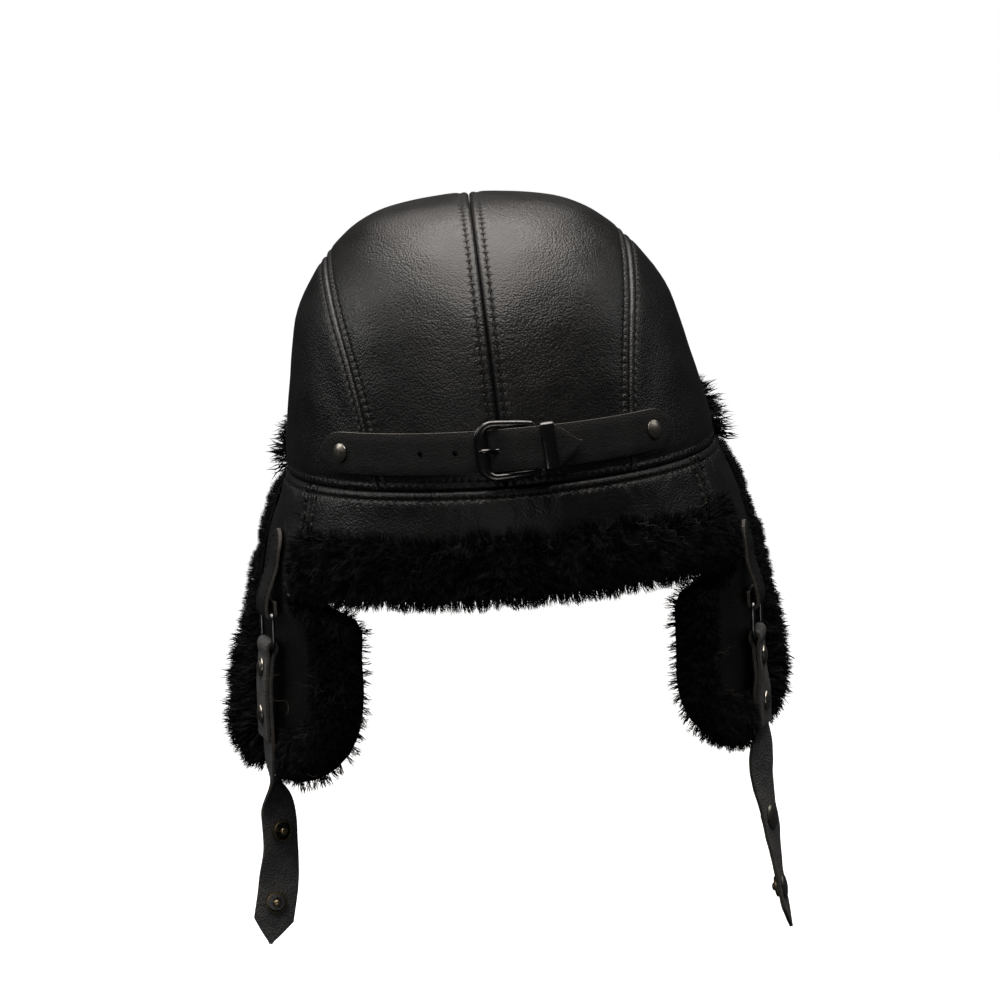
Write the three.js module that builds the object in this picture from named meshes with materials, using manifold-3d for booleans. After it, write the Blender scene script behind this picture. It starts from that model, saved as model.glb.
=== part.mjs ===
// A sheepskin aviator hat: four leather crown panels over a wool lining, a neck flap and two ear
// flaps with wool edges, a brow flap folded up, a buckled strap at the back and two chin straps.
// Millimetres, Z up, brow towards -Y, the wearer's left towards +X.
import * as THREE from 'three';
import { mergeVertices } from 'three/addons/utils/BufferGeometryUtils.js';
import Module from 'manifold-3d';

const wasm = await Module();
wasm.setup();

// Crown
const crownHalfWidth = 108;
const crownHalfLength = 121;
const crownHeight = 131;
const crownLean = 6.5;
const leatherWall = 2;
const liningWall = 12;
const pieceGap = 0.3;
const seamDip = 2.2;
const seamBand = 7;
const liningClearance = 1.1;
const skinClearance = 0.95;

// Where the side seams meet the rim and the middle of the crown, as shares of the way from apex to rim
const seamAtRim = 0.555;
const seamAtMiddle = 0.425;

// Skirt below the rim
const neckCornerAngle = 31.6;
const earFrontAngle = -22;
const sideFlare = 15;
const backFlare = 4;
const flareDepth = 60;
const neckDrop = 46;
const neckLiningDrop = 50;
const neckLiningWall = 10;
const neckFurTop = 21;
const neckFurBottom = 53;
const furBacking = 4.5;
const furLock = 9.5;
const lockWidth = 12;

// Ear flaps
const earDrop = 150;
const earRound = 46;
const earRearAngle = 50.5;
const earWiden = 11;
const earTipAngle = 22;
const earTaper = 14;
const earLeatherInset = 11;
const earLiningWall = 12;
const earBorder = 36;
const earBorderFront = 26;
const earBorderTop = 7;
const earBorderLead = 3;
const earInsetFade = 24;
const earCurlAngle = 11;
const earCurlSpan = 19;

// Brow flap
const browEndAngle = 25;
const browLow = -6;
const browHigh = 66;
const browCorner = 54;
const browClearance = 0.9;

// Back strap and buckle
const strapWidth = 19.5;
const strapWall = 1.6;
const strapHeight = 17.5;
const strapLeftEnd = 84;
const strapRightEnd = -81;
const strapTip = -35;
const strapPoint = 11;
const strapHole = 2.6;
const strapHolePlaces = [36.6, 20.8];
const strapEndSeat = 0.4;
const strapLiftEnd = 60;
const strapLiftStart = 34;
const tongueClimb = 13;
const foldSettle = 7;
const buckleLeft = 12;
const buckleRight = -16.2;
const buckleHeight = 28.2;
const buckleWire = 2.6;
const buckleArm = 3.4;
const buckleFront = 6.6;
const buckleCorner = 6;
const buckleWaist = 9;
const prongWire = 2;
const prongEye = 1.2;
const keeperPlace = -20;
const keeperWidth = 6.4;
const keeperWall = 1.2;
const foldReturn = -29;
const rivetInset = 10;
const rivetCap = 8.8;
const rivetRise = 1.8;
const rivetShank = 3;

// Chin straps, tabs and rings
const chinWidth = 20;
const chinWall = 1.8;
const tabWidth = 20;
const tabLength = 40;
const tabWall = 1.8;
const ringCorner = 2.5;
const ringHeight = 17;
const ringWire = 2.2;
const snapCap = 9.4;
const snapRise = 2;
const snapShank = 3.4;
const snapFoot = 6.8;
const snapBack = 1.2;
const studCap = 12.6;
const studFoot = 10.6;
const studBack = 2;
const chinPoint = 12;
const tabSeat = 0.6;
const chinLength = 151;
const chinFold = 46;
const foldEase = 6;

// Places of a chin strap's caps as shares of its fold, and of its studs as shares of its length
const foldSnaps = [0.24, 0.74];
const loneSnaps = [0.622, 0.861];

// Each side hangs a little differently: how far the flap's tip swings out, how far its front edge
// curls out beyond that, its tab's place and how far the neck's wool runs past its seam
const hang = {
  left: { swing: 8, curl: 6, tabAngle: 18, tabTop: 24, woolPast: 0 },
  right: { swing: -4, curl: 6, tabAngle: 16, tabTop: 38, woolPast: 4.5 },
};

// A chin strap's course below its ring: sideways shift as a share of its length, turn in degrees
// from the way that its tab faces
const chinCourse = {
  left: [
    { along: 0, shift: 0, turn: 0 },
    { along: 0.065, shift: 0.013, turn: 0 },
    { along: 0.12, shift: 0.022, turn: 0 },
    { along: 0.18, shift: 0.026, turn: 0 },
    { along: 0.28, shift: 0.03, turn: 0 },
    { along: 0.36, shift: 0.033, turn: -2 },
    { along: 0.44, shift: 0.034, turn: -10 },
    { along: 0.53, shift: 0.022, turn: -60 },
    { along: 0.58, shift: 0.018, turn: -69 },
    { along: 0.67, shift: 0.02, turn: -69 },
    { along: 0.72, shift: 0.025, turn: -76 },
    { along: 0.79, shift: 0.034, turn: -94 },
    { along: 0.84, shift: 0.043, turn: -97 },
    { along: 0.92, shift: 0.062, turn: -97 },
    { along: 1, shift: 0.08, turn: -97 },
  ],
  right: [
    { along: 0, shift: 0, turn: 0 },
    { along: 0.065, shift: 0.002, turn: 0 },
    { along: 0.125, shift: 0.003, turn: 0 },
    { along: 0.2, shift: 0.003, turn: 7 },
    { along: 0.31, shift: 0.002, turn: 7 },
    { along: 0.38, shift: -0.004, turn: 22 },
    { along: 0.44, shift: -0.008, turn: 25 },
    { along: 0.51, shift: -0.006, turn: 19 },
    { along: 0.59, shift: 0.006, turn: 11 },
    { along: 0.655, shift: 0.014, turn: 11 },
    { along: 0.75, shift: 0.024, turn: 3 },
    { along: 0.84, shift: 0.032, turn: -2 },
    { along: 0.92, shift: 0.044, turn: -3 },
    { along: 1, shift: 0.06, turn: -3 },
  ],
};

const black = { color: 0x0c0c0d, roughness: 0.42, metalness: 0 };
const matteBlack = { color: 0x101011, roughness: 0.66, metalness: 0 };
const wool = { color: 0x0a0a0b, roughness: 0.95, metalness: 0 };
const nickel = { color: 0x8c857a, roughness: 0.3, metalness: 1 };
const gunmetal = { color: 0x2c2c2f, roughness: 0.24, metalness: 1 };
const brass = { color: 0x7d6a4b, roughness: 0.35, metalness: 1 };

const hat = new THREE.Group();
const apexLining = crownHeight - leatherWall - seamDip - liningClearance - liningWall;
hat.position.z = -apexLining;

// The crown's outline from apex to rim: share of the arc, of the half width or length, of the height
const crownSections = [
  { arc: 0, reach: 0, rise: 1 },
  { arc: 0.106, reach: 0.19, rise: 0.992 },
  { arc: 0.213, reach: 0.38, rise: 0.967 },
  { arc: 0.303, reach: 0.528, rise: 0.916 },
  { arc: 0.405, reach: 0.667, rise: 0.825 },
  { arc: 0.495, reach: 0.773, rise: 0.718 },
  { arc: 0.606, reach: 0.866, rise: 0.573 },
  { arc: 0.75, reach: 0.935, rise: 0.366 },
  { arc: 0.875, reach: 0.972, rise: 0.183 },
  { arc: 1, reach: 1, rise: 0 },
];

const clamp = THREE.MathUtils.clamp;
const smooth = THREE.MathUtils.smoothstep;
const radians = THREE.MathUtils.degToRad;
const vec = (x, y, z) => new THREE.Vector3(x, y, z);
const up = vec(0, 0, 1);

function steps(count, from = 0, to = 1) {
  return Array.from({ length: count + 1 }, (unused, i) => from + ((to - from) * i) / count);
}

// Smooth value of one column of a table at a place in another of its columns
function lookUp(table, along, column, place) {
  const sign = Math.sign(table[table.length - 1][along] - table[0][along]);
  let i = 0;
  while (i < table.length - 2 && sign * place > sign * table[i + 1][along]) {
    i += 1;
  }
  const slope = (k) => {
    const a = table[Math.max(k - 1, 0)];
    const b = table[Math.min(k + 1, table.length - 1)];
    return (b[column] - a[column]) / (b[along] - a[along]);
  };
  const span = table[i + 1][along] - table[i][along];
  const t = clamp((place - table[i][along]) / span, 0, 1);
  const t2 = t * t;
  const t3 = t2 * t;
  return (
    (2 * t3 - 3 * t2 + 1) * table[i][column] +
    (t3 - 2 * t2 + t) * span * slope(i) +
    (3 * t2 - 2 * t3) * table[i + 1][column] +
    (t3 - t2) * span * slope(i + 1)
  );
}

// Repeatable scatter between -1 and 1
function scatter(seed) {
  const s = Math.sin(seed * 127.1 + 11.7) * 43758.5453;
  return (s - Math.floor(s)) * 2 - 1;
}

function addPiece(name, geometry, material) {
  const mesh = new THREE.Mesh(geometry, new THREE.MeshStandardMaterial(material));
  mesh.name = name;
  hat.add(mesh);
  return mesh;
}

// Closed geometry from shared points and faces; faces that fold onto a line are dropped
function closed(points, faces) {
  const raw = new THREE.BufferGeometry();
  raw.setAttribute('position', new THREE.Float32BufferAttribute(points.flatMap((p) => p.toArray()), 3));
  raw.setIndex(faces.flat());
  const merged = mergeVertices(raw, 1e-4);
  const index = Array.from(merged.index.array);
  const kept = [];
  for (let i = 0; i < index.length; i += 3) {
    const [a, b, c] = [index[i], index[i + 1], index[i + 2]];
    if (a !== b && b !== c && c !== a) {
      kept.push(a, b, c);
    }
  }
  merged.setIndex(kept);
  merged.computeVertexNormals();
  return merged;
}

// A sheet of two skins; place(u, v, side) gives its points, side 1 being the outer skin. With
// tipAt(i, j), each outer cell rises to a lock of wool.
function sheet(us, vs, place, tipAt) {
  const points = [];
  const faces = [];
  const n = us.length;
  const m = vs.length;
  for (const side of [1, 0]) {
    for (const v of vs) {
      for (const u of us) {
        points.push(place(u, v, side));
      }
    }
  }
  const at = (i, j, side) => (side ? 0 : n * m) + j * n + i;
  const quad = (a, b, c, d) => faces.push([a, b, c], [a, c, d]);
  for (let j = 0; j < m - 1; j += 1) {
    for (let i = 0; i < n - 1; i += 1) {
      if (tipAt) {
        const ring = [at(i, j, 1), at(i + 1, j, 1), at(i + 1, j + 1, 1), at(i, j + 1, 1)];
        points.push(tipAt(i, j));
        ring.forEach((corner, k) => faces.push([corner, ring[(k + 1) % 4], points.length - 1]));
      } else {
        quad(at(i, j, 1), at(i + 1, j, 1), at(i + 1, j + 1, 1), at(i, j + 1, 1));
      }
      quad(at(i, j, 0), at(i, j + 1, 0), at(i + 1, j + 1, 0), at(i + 1, j, 0));
    }
  }
  for (let i = 0; i < n - 1; i += 1) {
    quad(at(i, 0, 0), at(i + 1, 0, 0), at(i + 1, 0, 1), at(i, 0, 1));
    quad(at(i, m - 1, 1), at(i + 1, m - 1, 1), at(i + 1, m - 1, 0), at(i, m - 1, 0));
  }
  for (let j = 0; j < m - 1; j += 1) {
    quad(at(0, j, 1), at(0, j + 1, 1), at(0, j + 1, 0), at(0, j, 0));
    quad(at(n - 1, j, 0), at(n - 1, j + 1, 0), at(n - 1, j + 1, 1), at(n - 1, j, 1));
  }
  return outward(closed(points, faces));
}

function signedVolume(geometry) {
  const p = geometry.attributes.position;
  const index = geometry.index.array;
  let sum = 0;
  for (let i = 0; i < index.length; i += 3) {
    const [a, b, c] = [0, 1, 2].map((k) => vec(0, 0, 0).fromBufferAttribute(p, index[i + k]));
    sum += a.dot(b.cross(c)) / 6;
  }
  return sum;
}

function outward(geometry) {
  if (signedVolume(geometry) < 0) {
    const index = geometry.index.array;
    for (let i = 0; i < index.length; i += 3) {
      [index[i], index[i + 1]] = [index[i + 1], index[i]];
    }
    geometry.computeVertexNormals();
  }
  return geometry;
}

function toSolid(geometry) {
  const bare = geometry.clone();
  for (const name of ['normal', 'uv']) {
    bare.deleteAttribute(name);
  }
  const merged = mergeVertices(bare, 1e-4);
  return new wasm.Manifold(
    new wasm.Mesh({
      numProp: 3,
      vertProperties: new Float32Array(merged.attributes.position.array),
      triVerts: new Uint32Array(merged.index.array),
    }),
  );
}

function toGeometry(solid) {
  const mesh = solid.getMesh();
  const geometry = new THREE.BufferGeometry();
  geometry.setAttribute('position', new THREE.Float32BufferAttribute(mesh.vertProperties, 3));
  geometry.setIndex(Array.from(mesh.triVerts));
  geometry.computeVertexNormals();
  return geometry;
}

// The crown's surface over a round plan: (p, q) runs to 1 at the rim, q towards the back
function crownPoint(p, q) {
  const arc = Math.min(Math.hypot(p, q), 1);
  const angle = Math.atan2(q, p);
  const reach = lookUp(crownSections, 'arc', 'reach', arc);
  const rise = lookUp(crownSections, 'arc', 'rise', arc);
  return vec(
    crownHalfWidth * reach * Math.cos(angle),
    crownHalfLength * reach * Math.sin(angle),
    crownHeight * rise,
  );
}

function crownNormal(p, q) {
  const step = 0.004;
  const arc = Math.hypot(p, q);
  const inward = arc > 1 - step ? (1 - 2 * step) / arc : 1;
  const [a, b] = [p * inward, q * inward];
  const alongP = crownPoint(a + step, b).sub(crownPoint(a - step, b));
  const alongQ = crownPoint(a, b + step).sub(crownPoint(a, b - step));
  return alongP.cross(alongQ).normalize();
}

// The crown leans towards the wearer's left as it rises
function leanAt(height) {
  return (crownLean * Math.max(height, 0)) / crownHeight;
}

function crownOffset(p, q, out) {
  const point = crownPoint(p, q).addScaledVector(crownNormal(p, q), out);
  point.z = Math.max(point.z, 0);
  return point;
}

// Plan of the side seam and of the lines between it and the middle seam
function centreLine(share, along) {
  const rim = share * seamAtRim;
  const middle = share * seamAtMiddle;
  const back = 1 - 2 * along;
  return [middle + (rim - middle) * back * back, Math.sqrt(1 - rim * rim) * back];
}

function sideLine(share, along) {
  const [seamP, seamQ] = centreLine(1, along);
  const corner = Math.acos(seamAtRim);
  const angle = corner * (1 - 2 * along);
  return [
    seamP + (Math.cos(angle) - seamP) * share,
    seamQ + (Math.sin(angle) - seamQ) * share,
  ];
}

function crownPanel(name, line, side, us, vs, seams) {
  const place = (u, v, skin) => {
    const span = crownPoint(...line(0, v)).distanceTo(crownPoint(...line(1, v)));
    const trim = Math.min(pieceGap / 2 / span, 0.2);
    const share = trim + (1 - 2 * trim) * u;
    const [p, q] = line(share, v);
    const nearest = Math.min(seams[0] ? share * span : seamBand, seams[1] ? (1 - share) * span : seamBand);
    const fall = 1 - clamp(nearest / seamBand, 0, 1);
    const dip = seamDip * fall * fall;
    const point = crownOffset(p, q, (skin ? 0 : -leatherWall) - dip);
    point.x = point.x * side + leanAt(point.z);
    return point;
  };
  addPiece(name, sheet(us, vs, place), black);
}

const centreShares = [0, 0.05, 0.11, 0.32, 0.68, 0.89, 0.95, 1];
const sideShares = [0, 0.07, 0.16, 0.4, 0.7, 1];
const seamStations = steps(12, 0.03, 0.97);
for (const [word, side] of [['left', 1], ['right', -1]]) {
  const centreStations = [0, ...seamStations, 1];
  crownPanel(`crown_centre_${word}`, centreLine, side, centreShares, centreStations, [true, true]);
  crownPanel(`crown_side_${word}`, sideLine, side, sideShares, seamStations, [true, false]);
}

// The lining is a bowl of wool under the panels
{
  const outer = -(leatherWall + seamDip + liningClearance);
  const rings = steps(5, 0.16, 1);
  const turns = 22;
  const points = [];
  const faces = [];
  const place = (p, q, out) => {
    const point = crownOffset(p, q, out);
    point.x += leanAt(point.z);
    return point;
  };
  for (const out of [outer, outer - liningWall]) {
    points.push(place(0, 0, out));
    for (const ring of rings) {
      for (let k = 0; k < turns; k += 1) {
        const angle = (2 * Math.PI * k) / turns;
        points.push(place(ring * Math.cos(angle), ring * Math.sin(angle), out));
      }
    }
  }
  const size = 1 + rings.length * turns;
  const at = (skin, ring, k) => skin * size + 1 + ring * turns + (k % turns);
  for (let k = 0; k < turns; k += 1) {
    faces.push([0, at(0, 0, k), at(0, 0, k + 1)]);
    faces.push([size, at(1, 0, k + 1), at(1, 0, k)]);
    for (let r = 0; r < rings.length - 1; r += 1) {
      faces.push([at(0, r, k), at(0, r + 1, k), at(0, r + 1, k + 1)]);
      faces.push([at(0, r, k), at(0, r + 1, k + 1), at(0, r, k + 1)]);
      faces.push([at(1, r, k), at(1, r + 1, k + 1), at(1, r + 1, k)]);
      faces.push([at(1, r, k), at(1, r, k + 1), at(1, r + 1, k + 1)]);
    }
    const last = rings.length - 1;
    faces.push([at(0, last, k), at(1, last, k), at(1, last, k + 1)]);
    faces.push([at(0, last, k), at(1, last, k + 1), at(0, last, k + 1)]);
  }
  addPiece('crown_lining', outward(closed(points, faces)), wool);
}

// The wall of the hat by angle round the rim and height over the seam, with an offset outwards
function flareAt(angle, depth) {
  const opening = Math.sin((clamp(depth / flareDepth, 0, 1) * Math.PI) / 2);
  return (backFlare + (sideFlare - backFlare) * Math.cos(angle) ** 2) * opening;
}

function wallNormal(angle) {
  return vec(crownHalfLength * Math.cos(angle), crownHalfWidth * Math.sin(angle), 0).normalize();
}

function wallPoint(angle, height, out) {
  const reach = height > 0 ? lookUp(crownSections, 'rise', 'reach', height / crownHeight) : 1;
  const point = vec(
    crownHalfWidth * reach * Math.cos(angle) + leanAt(height),
    crownHalfLength * reach * Math.sin(angle),
    height,
  );
  const flare = height < 0 ? flareAt(angle, -height) : 0;
  return point.addScaledVector(wallNormal(angle), out + flare);
}

// Angle that a length along the rim takes near the side of the hat
const anglePerLength = 1 / crownHalfLength;

// Neck flap and its lining
{
  const gapAngle = (pieceGap / 2) * anglePerLength;
  const from = radians(neckCornerAngle) + gapAngle;
  const to = Math.PI - from;
  addPiece(
    'neck_flap',
    sheet(steps(18, from, to), steps(3, pieceGap, neckDrop), (u, v, skin) =>
      wallPoint(u, -v, skin ? 0 : -leatherWall),
    ),
    black,
  );
  const inner = leatherWall + skinClearance;
  addPiece(
    'neck_lining',
    sheet(steps(18, from, to), steps(3, pieceGap, neckLiningDrop), (u, v, skin) =>
      wallPoint(u, -v, skin ? -inner : -inner - neckLiningWall),
    ),
    wool,
  );
}

// A backing with a lock of wool on each cell; lean(u, v) says which way the locks lie
function shag(us, vs, place, lean, seed) {
  const tipAt = (i, j) => {
    const pick = seed + i * 37 + j;
    const u = us[i] + (us[i + 1] - us[i]) * (0.5 + 0.22 * scatter(pick));
    const v = vs[j] + (vs[j + 1] - vs[j]) * (0.5 + 0.22 * scatter(pick + 0.4));
    const length = furLock * (1 + 0.22 * scatter(pick + 0.7));
    const root = place(u, v, 1);
    const outwards = root.clone().sub(place(u, v, 0)).normalize();
    return root.addScaledVector(outwards.add(lean(u, v)).normalize(), length);
  };
  return sheet(us, vs, place, tipAt);
}

function largest(solid) {
  const bodies = solid.decompose();
  return bodies.reduce((best, body) => (body.volume() > best.volume() ? body : best));
}

// Cuts one solid clear of another by the gap that pieces keep
function clearOf(solid, other) {
  let cut = solid;
  for (const axis of [vec(1, 0, 0), vec(0, 1, 0), vec(0, 0, 1)]) {
    for (const way of [pieceGap, -pieceGap]) {
      cut = cut.subtract(other.translate(axis.clone().multiplyScalar(way).toArray()));
    }
  }
  return largest(cut.simplify(pieceGap / 4));
}

// Wool band on the neck flap
const neckWoolFrom = radians(neckCornerAngle - hang.left.woolPast);
const neckWoolTo = Math.PI - radians(neckCornerAngle - hang.right.woolPast);
const neckLocks = Math.round(((neckWoolTo - neckWoolFrom) * crownHalfLength) / lockWidth);
const neckFur = shag(
  steps(neckLocks, neckWoolFrom, neckWoolTo),
  steps(3, neckFurTop, neckFurBottom),
  (u, v, skin) => wallPoint(u, -v, skinClearance + (skin ? furBacking : 0)),
  () => vec(0, 0, -0.5),
  1,
);
addPiece('neck_fur', neckFur, wool);

// Outline of an ear flap: angle of one edge at a depth, rear 1 or front -1, inset by a length. Its rear
// edge follows the neck flap's seam and runs out towards the back below the neck's wool.
function earEdge(edge, depth, inset) {
  const straightDepth = earDrop - earRound;
  const widened = smooth(depth, neckFurBottom, neckFurBottom + earWiden);
  const rear = neckCornerAngle + (earRearAngle - neckCornerAngle) * widened;
  const front = earFrontAngle + earTaper * clamp(depth / straightDepth, 0, 1);
  const fade = edge > 0 ? smooth(depth, neckFurTop, neckFurBottom) : clamp(depth / earInsetFade, 0, 1);
  const t = clamp((depth - straightDepth) / (earRound - inset), 0, 1);
  const tip = radians(earTipAngle);
  const full = radians(edge > 0 ? rear : front) - edge * inset * fade * anglePerLength;
  return tip + (full - tip) * Math.sqrt(1 - t * t);
}

function earPoint(word, angle, depth, out) {
  const point = wallPoint(angle, -depth, out);
  const { swing, curl } = hang[word];
  const forward = smooth(radians(earCurlAngle) - angle, 0, radians(earCurlSpan));
  point.x += (swing + curl * forward) * (depth / earDrop) ** 2;
  return word === 'left' ? point : vec(-point.x, point.y, point.z);
}

function earNormal(word, angle) {
  const normal = wallNormal(angle);
  return word === 'left' ? normal : vec(-normal.x, normal.y, normal.z);
}

function earSheet(word, inset, from, outer, inner) {
  const straightDepth = earDrop - earRound;
  const top = steps(3, from, neckFurBottom);
  const wide = [0.35, 0.65, 1].map((share) => neckFurBottom + earWiden * share);
  const low = steps(2, neckFurBottom + earWiden, straightDepth).slice(1);
  const round = [0.3, 0.6, 0.82, 0.94].map(
    (t) => straightDepth + (earRound - inset) * Math.sin((t * Math.PI) / 2),
  );
  return sheet(steps(7), [...top, ...wide, ...low, ...round], (u, v, skin) => {
    const front = earEdge(-1, v, inset);
    const rear = earEdge(1, v, inset);
    const cut = (pieceGap / 2) * anglePerLength;
    const angle = front + cut + (rear - front - 2 * cut) * u;
    return earPoint(word, angle, v, skin ? outer : inner);
  });
}

// Wool border round an ear flap, from the rear top down, round the tip and up the front
function earBorderPlace(t, w) {
  const leg = 0.34;
  const straightDepth = earDrop - earRound;
  const inset = w * (earBorder + (earBorderFront - earBorder) * smooth(t, 0.5, 1 - leg));
  let angle;
  let depth;
  if (t < leg || t > 1 - leg) {
    const edge = t < leg ? 1 : -1;
    const share = (t < leg ? t : 1 - t) / leg;
    const top = t < leg ? neckFurBottom : earBorderTop;
    depth = top + (straightDepth - top) * share;
    const full = earEdge(edge, depth, 0);
    const room = edge > 0 ? full - radians(neckCornerAngle - earBorderLead) : Math.PI;
    angle = full - edge * Math.min(inset * anglePerLength, w * room);
  } else {
    const turn = ((t - leg) / (1 - 2 * leg)) * Math.PI;
    const tip = radians(earTipAngle);
    const rear = earEdge(1, straightDepth, 0) - inset * anglePerLength;
    const front = earEdge(-1, straightDepth, 0) + inset * anglePerLength;
    const half = Math.cos(turn) > 0 ? rear - tip : tip - front;
    angle = tip + half * Math.cos(turn);
    depth = straightDepth + (earRound - inset) * Math.sin(turn);
  }
  return [angle, depth];
}

const earFur = {};
for (const word of ['left', 'right']) {
  const liningOut = -(leatherWall + skinClearance);
  addPiece(`ear_flap_${word}`, earSheet(word, earLeatherInset, pieceGap, 0, -leatherWall), black);
  addPiece(`ear_lining_${word}`, earSheet(word, 0, pieceGap, liningOut, liningOut - earLiningWall), wool);
  const place = (u, v, skin) => {
    const [angle, depth] = earBorderPlace(v, u);
    return earPoint(word, angle, depth, skinClearance + (skin ? furBacking : 0));
  };
  const lean = (u, v) => {
    const outer = place(0, v, 1).sub(place(1, v, 1)).normalize();
    return outer.multiplyScalar(0.75 * (1 - u)).add(vec(0, 0, -0.2));
  };
  const locks = Math.round((2 * earDrop) / lockWidth);
  const fur = shag([0, 0.5, 1], steps(locks), place, lean, word === 'left' ? 300 : 900);
  earFur[word] = clearOf(toSolid(fur), toSolid(neckFur));
}

// Brow flap folded up against the crown, and its wool face
{
  const from = -radians(180 - browEndAngle);
  const to = -radians(browEndAngle);
  const topAt = (angle) => {
    const toEnd = Math.min(angle - from, to - angle) / anglePerLength;
    const t = clamp(toEnd / browCorner, 0, 1);
    return browHigh - browCorner * (1 - Math.sqrt(1 - (1 - t) ** 2));
  };
  const place = (inner, outer) => (u, v, skin) => {
    const height = browLow + (topAt(u) - browLow) * v;
    return wallPoint(u, height, skin ? outer : inner);
  };
  const seat = browClearance;
  const face = seat + leatherWall + skinClearance;
  addPiece('brow_flap', sheet(steps(18, from, to), steps(4), place(seat, seat + leatherWall)), black);
  const across = Math.round(((to - from) * crownHalfWidth) / lockWidth);
  const rows = Math.round((browHigh - browLow) / lockWidth);
  const lean = () => vec(0, 0, 0.12);
  const fur = shag(steps(across, from, to), steps(rows), place(face, face + furBacking), lean, 1500);
  const solid = clearOf(clearOf(toSolid(fur), earFur.left), earFur.right);
  addPiece('brow_fur', toGeometry(solid), wool);
}

// A flat strap along a row of stations, each with its place, its broad axis, its thin axis and width
function ribbon(stations, wall) {
  const points = [];
  const faces = [];
  for (const { at, broad, thin, width } of stations) {
    for (const [a, b] of [[1, 1], [-1, 1], [-1, -1], [1, -1]]) {
      points.push(
        at.clone().addScaledVector(broad, (a * width) / 2).addScaledVector(thin, (b * wall) / 2),
      );
    }
  }
  const last = (stations.length - 1) * 4;
  faces.push([0, 1, 2], [0, 2, 3], [last, last + 2, last + 1], [last, last + 3, last + 2]);
  for (let i = 0; i < stations.length - 1; i += 1) {
    for (let k = 0; k < 4; k += 1) {
      const a = i * 4 + k;
      const b = i * 4 + ((k + 1) % 4);
      faces.push([a, a + 4, b + 4], [a, b + 4, b]);
    }
  }
  return outward(closed(points, faces));
}

// A round bar along points, open path with flat ends or joined into a loop, flat to the given way.
// broad gives each place's width across that way.
function bar(path, wire, sides, loop, way, broad) {
  const points = [];
  const faces = [];
  const count = path.length;
  for (let i = 0; i < count; i += 1) {
    const before = loop ? path[(i + count - 1) % count] : path[Math.max(i - 1, 0)];
    const after = loop ? path[(i + 1) % count] : path[Math.min(i + 1, count - 1)];
    const tangent = after.clone().sub(before).normalize();
    const out = way.clone().addScaledVector(tangent, -way.dot(tangent)).normalize();
    const across = tangent.clone().cross(out);
    for (let k = 0; k < sides; k += 1) {
      const turn = (2 * Math.PI * (k + 0.5)) / sides;
      points.push(
        path[i]
          .clone()
          .addScaledVector(out, (wire / 2) * Math.cos(turn))
          .addScaledVector(across, ((broad ? broad[i] : wire) / 2) * Math.sin(turn)),
      );
    }
  }
  const spans = loop ? count : count - 1;
  for (let i = 0; i < spans; i += 1) {
    for (let k = 0; k < sides; k += 1) {
      const j = (i + 1) % count;
      const a = i * sides + k;
      const b = i * sides + ((k + 1) % sides);
      const c = j * sides + ((k + 1) % sides);
      const d = j * sides + k;
      faces.push([a, b, c], [a, c, d]);
    }
  }
  if (!loop) {
    for (let k = 1; k < sides - 1; k += 1) {
      const end = (count - 1) * sides;
      faces.push([0, k + 1, k], [end, end + k, end + k + 1]);
    }
  }
  return outward(closed(points, faces));
}

// A turned stud or rivet about an axis; the profile runs from its back to its cap
function turned(profile, at, axis, sides) {
  const lathe = new THREE.LatheGeometry(profile.map(([r, h]) => new THREE.Vector2(r, h)), sides);
  lathe.deleteAttribute('normal');
  lathe.deleteAttribute('uv');
  const index = Array.from(lathe.index.array);
  const p = lathe.attributes.position;
  const points = Array.from({ length: p.count }, (unused, i) => vec(0, 0, 0).fromBufferAttribute(p, i));
  const faces = [];
  for (let i = 0; i < index.length; i += 3) {
    faces.push([index[i], index[i + 1], index[i + 2]]);
  }
  const geometry = outward(closed(points, faces));
  geometry.applyQuaternion(new THREE.Quaternion().setFromUnitVectors(vec(0, 1, 0), axis));
  geometry.translate(at.x, at.y, at.z);
  return geometry;
}

function rod(at, axis, diameter, length, sides) {
  const geometry = new THREE.CylinderGeometry(diameter / 2, diameter / 2, length, sides);
  geometry.applyQuaternion(new THREE.Quaternion().setFromUnitVectors(vec(0, 1, 0), axis));
  geometry.translate(at.x, at.y, at.z);
  return toSolid(geometry);
}

// Back of the hat at the strap's height: place, normal and rising slope at the sideways place x
function backPoint(x, out, aside = 0) {
  const reach = lookUp(crownSections, 'rise', 'reach', strapHeight / crownHeight);
  const angle = Math.acos(clamp(x / (crownHalfWidth * reach), -1, 1));
  const half = strapWidth / 2;
  const slope = wallPoint(angle, strapHeight + half, 0).sub(wallPoint(angle, strapHeight - half, 0));
  slope.normalize();
  const flat = wallNormal(angle);
  const normal = flat.addScaledVector(slope, -flat.dot(slope)).normalize();
  const point = wallPoint(angle, strapHeight, 0);
  point.addScaledVector(normal, out).addScaledVector(slope, aside);
  return [point, normal, slope];
}

// Offsets from the crown of the strap's layers where they pass the buckle
const strapSeat = keeperWall + 2 * pieceGap;
const strapLayer = strapWall + pieceGap;
const strapMiddle = strapSeat + strapWall / 2;
const frameOut = strapSeat + strapLayer + buckleWire / 2;
const heelPlace = buckleRight + buckleWire / 2;
const frontPlace = buckleLeft - buckleFront / 2;
const foldBend = frameOut - strapMiddle;
const foldOuter = frameOut + foldBend;
const foldRest = strapMiddle + strapLayer;
const foldAt = (x) =>
  foldOuter - (foldOuter - foldRest) * smooth(heelPlace - strapWall / 2 - x, 0, foldSettle);

function strapOut(x) {
  const lift = 1 - smooth(Math.abs(x), strapLiftStart, strapLiftEnd);
  return strapEndSeat + strapWall / 2 + (strapSeat - strapEndSeat) * lift;
}

function tongueOut(x) {
  const climb = smooth(buckleLeft - buckleFront - x, 0, tongueClimb);
  return strapOut(x) + (foldAt(x) + strapLayer - strapOut(x)) * climb;
}

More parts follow.
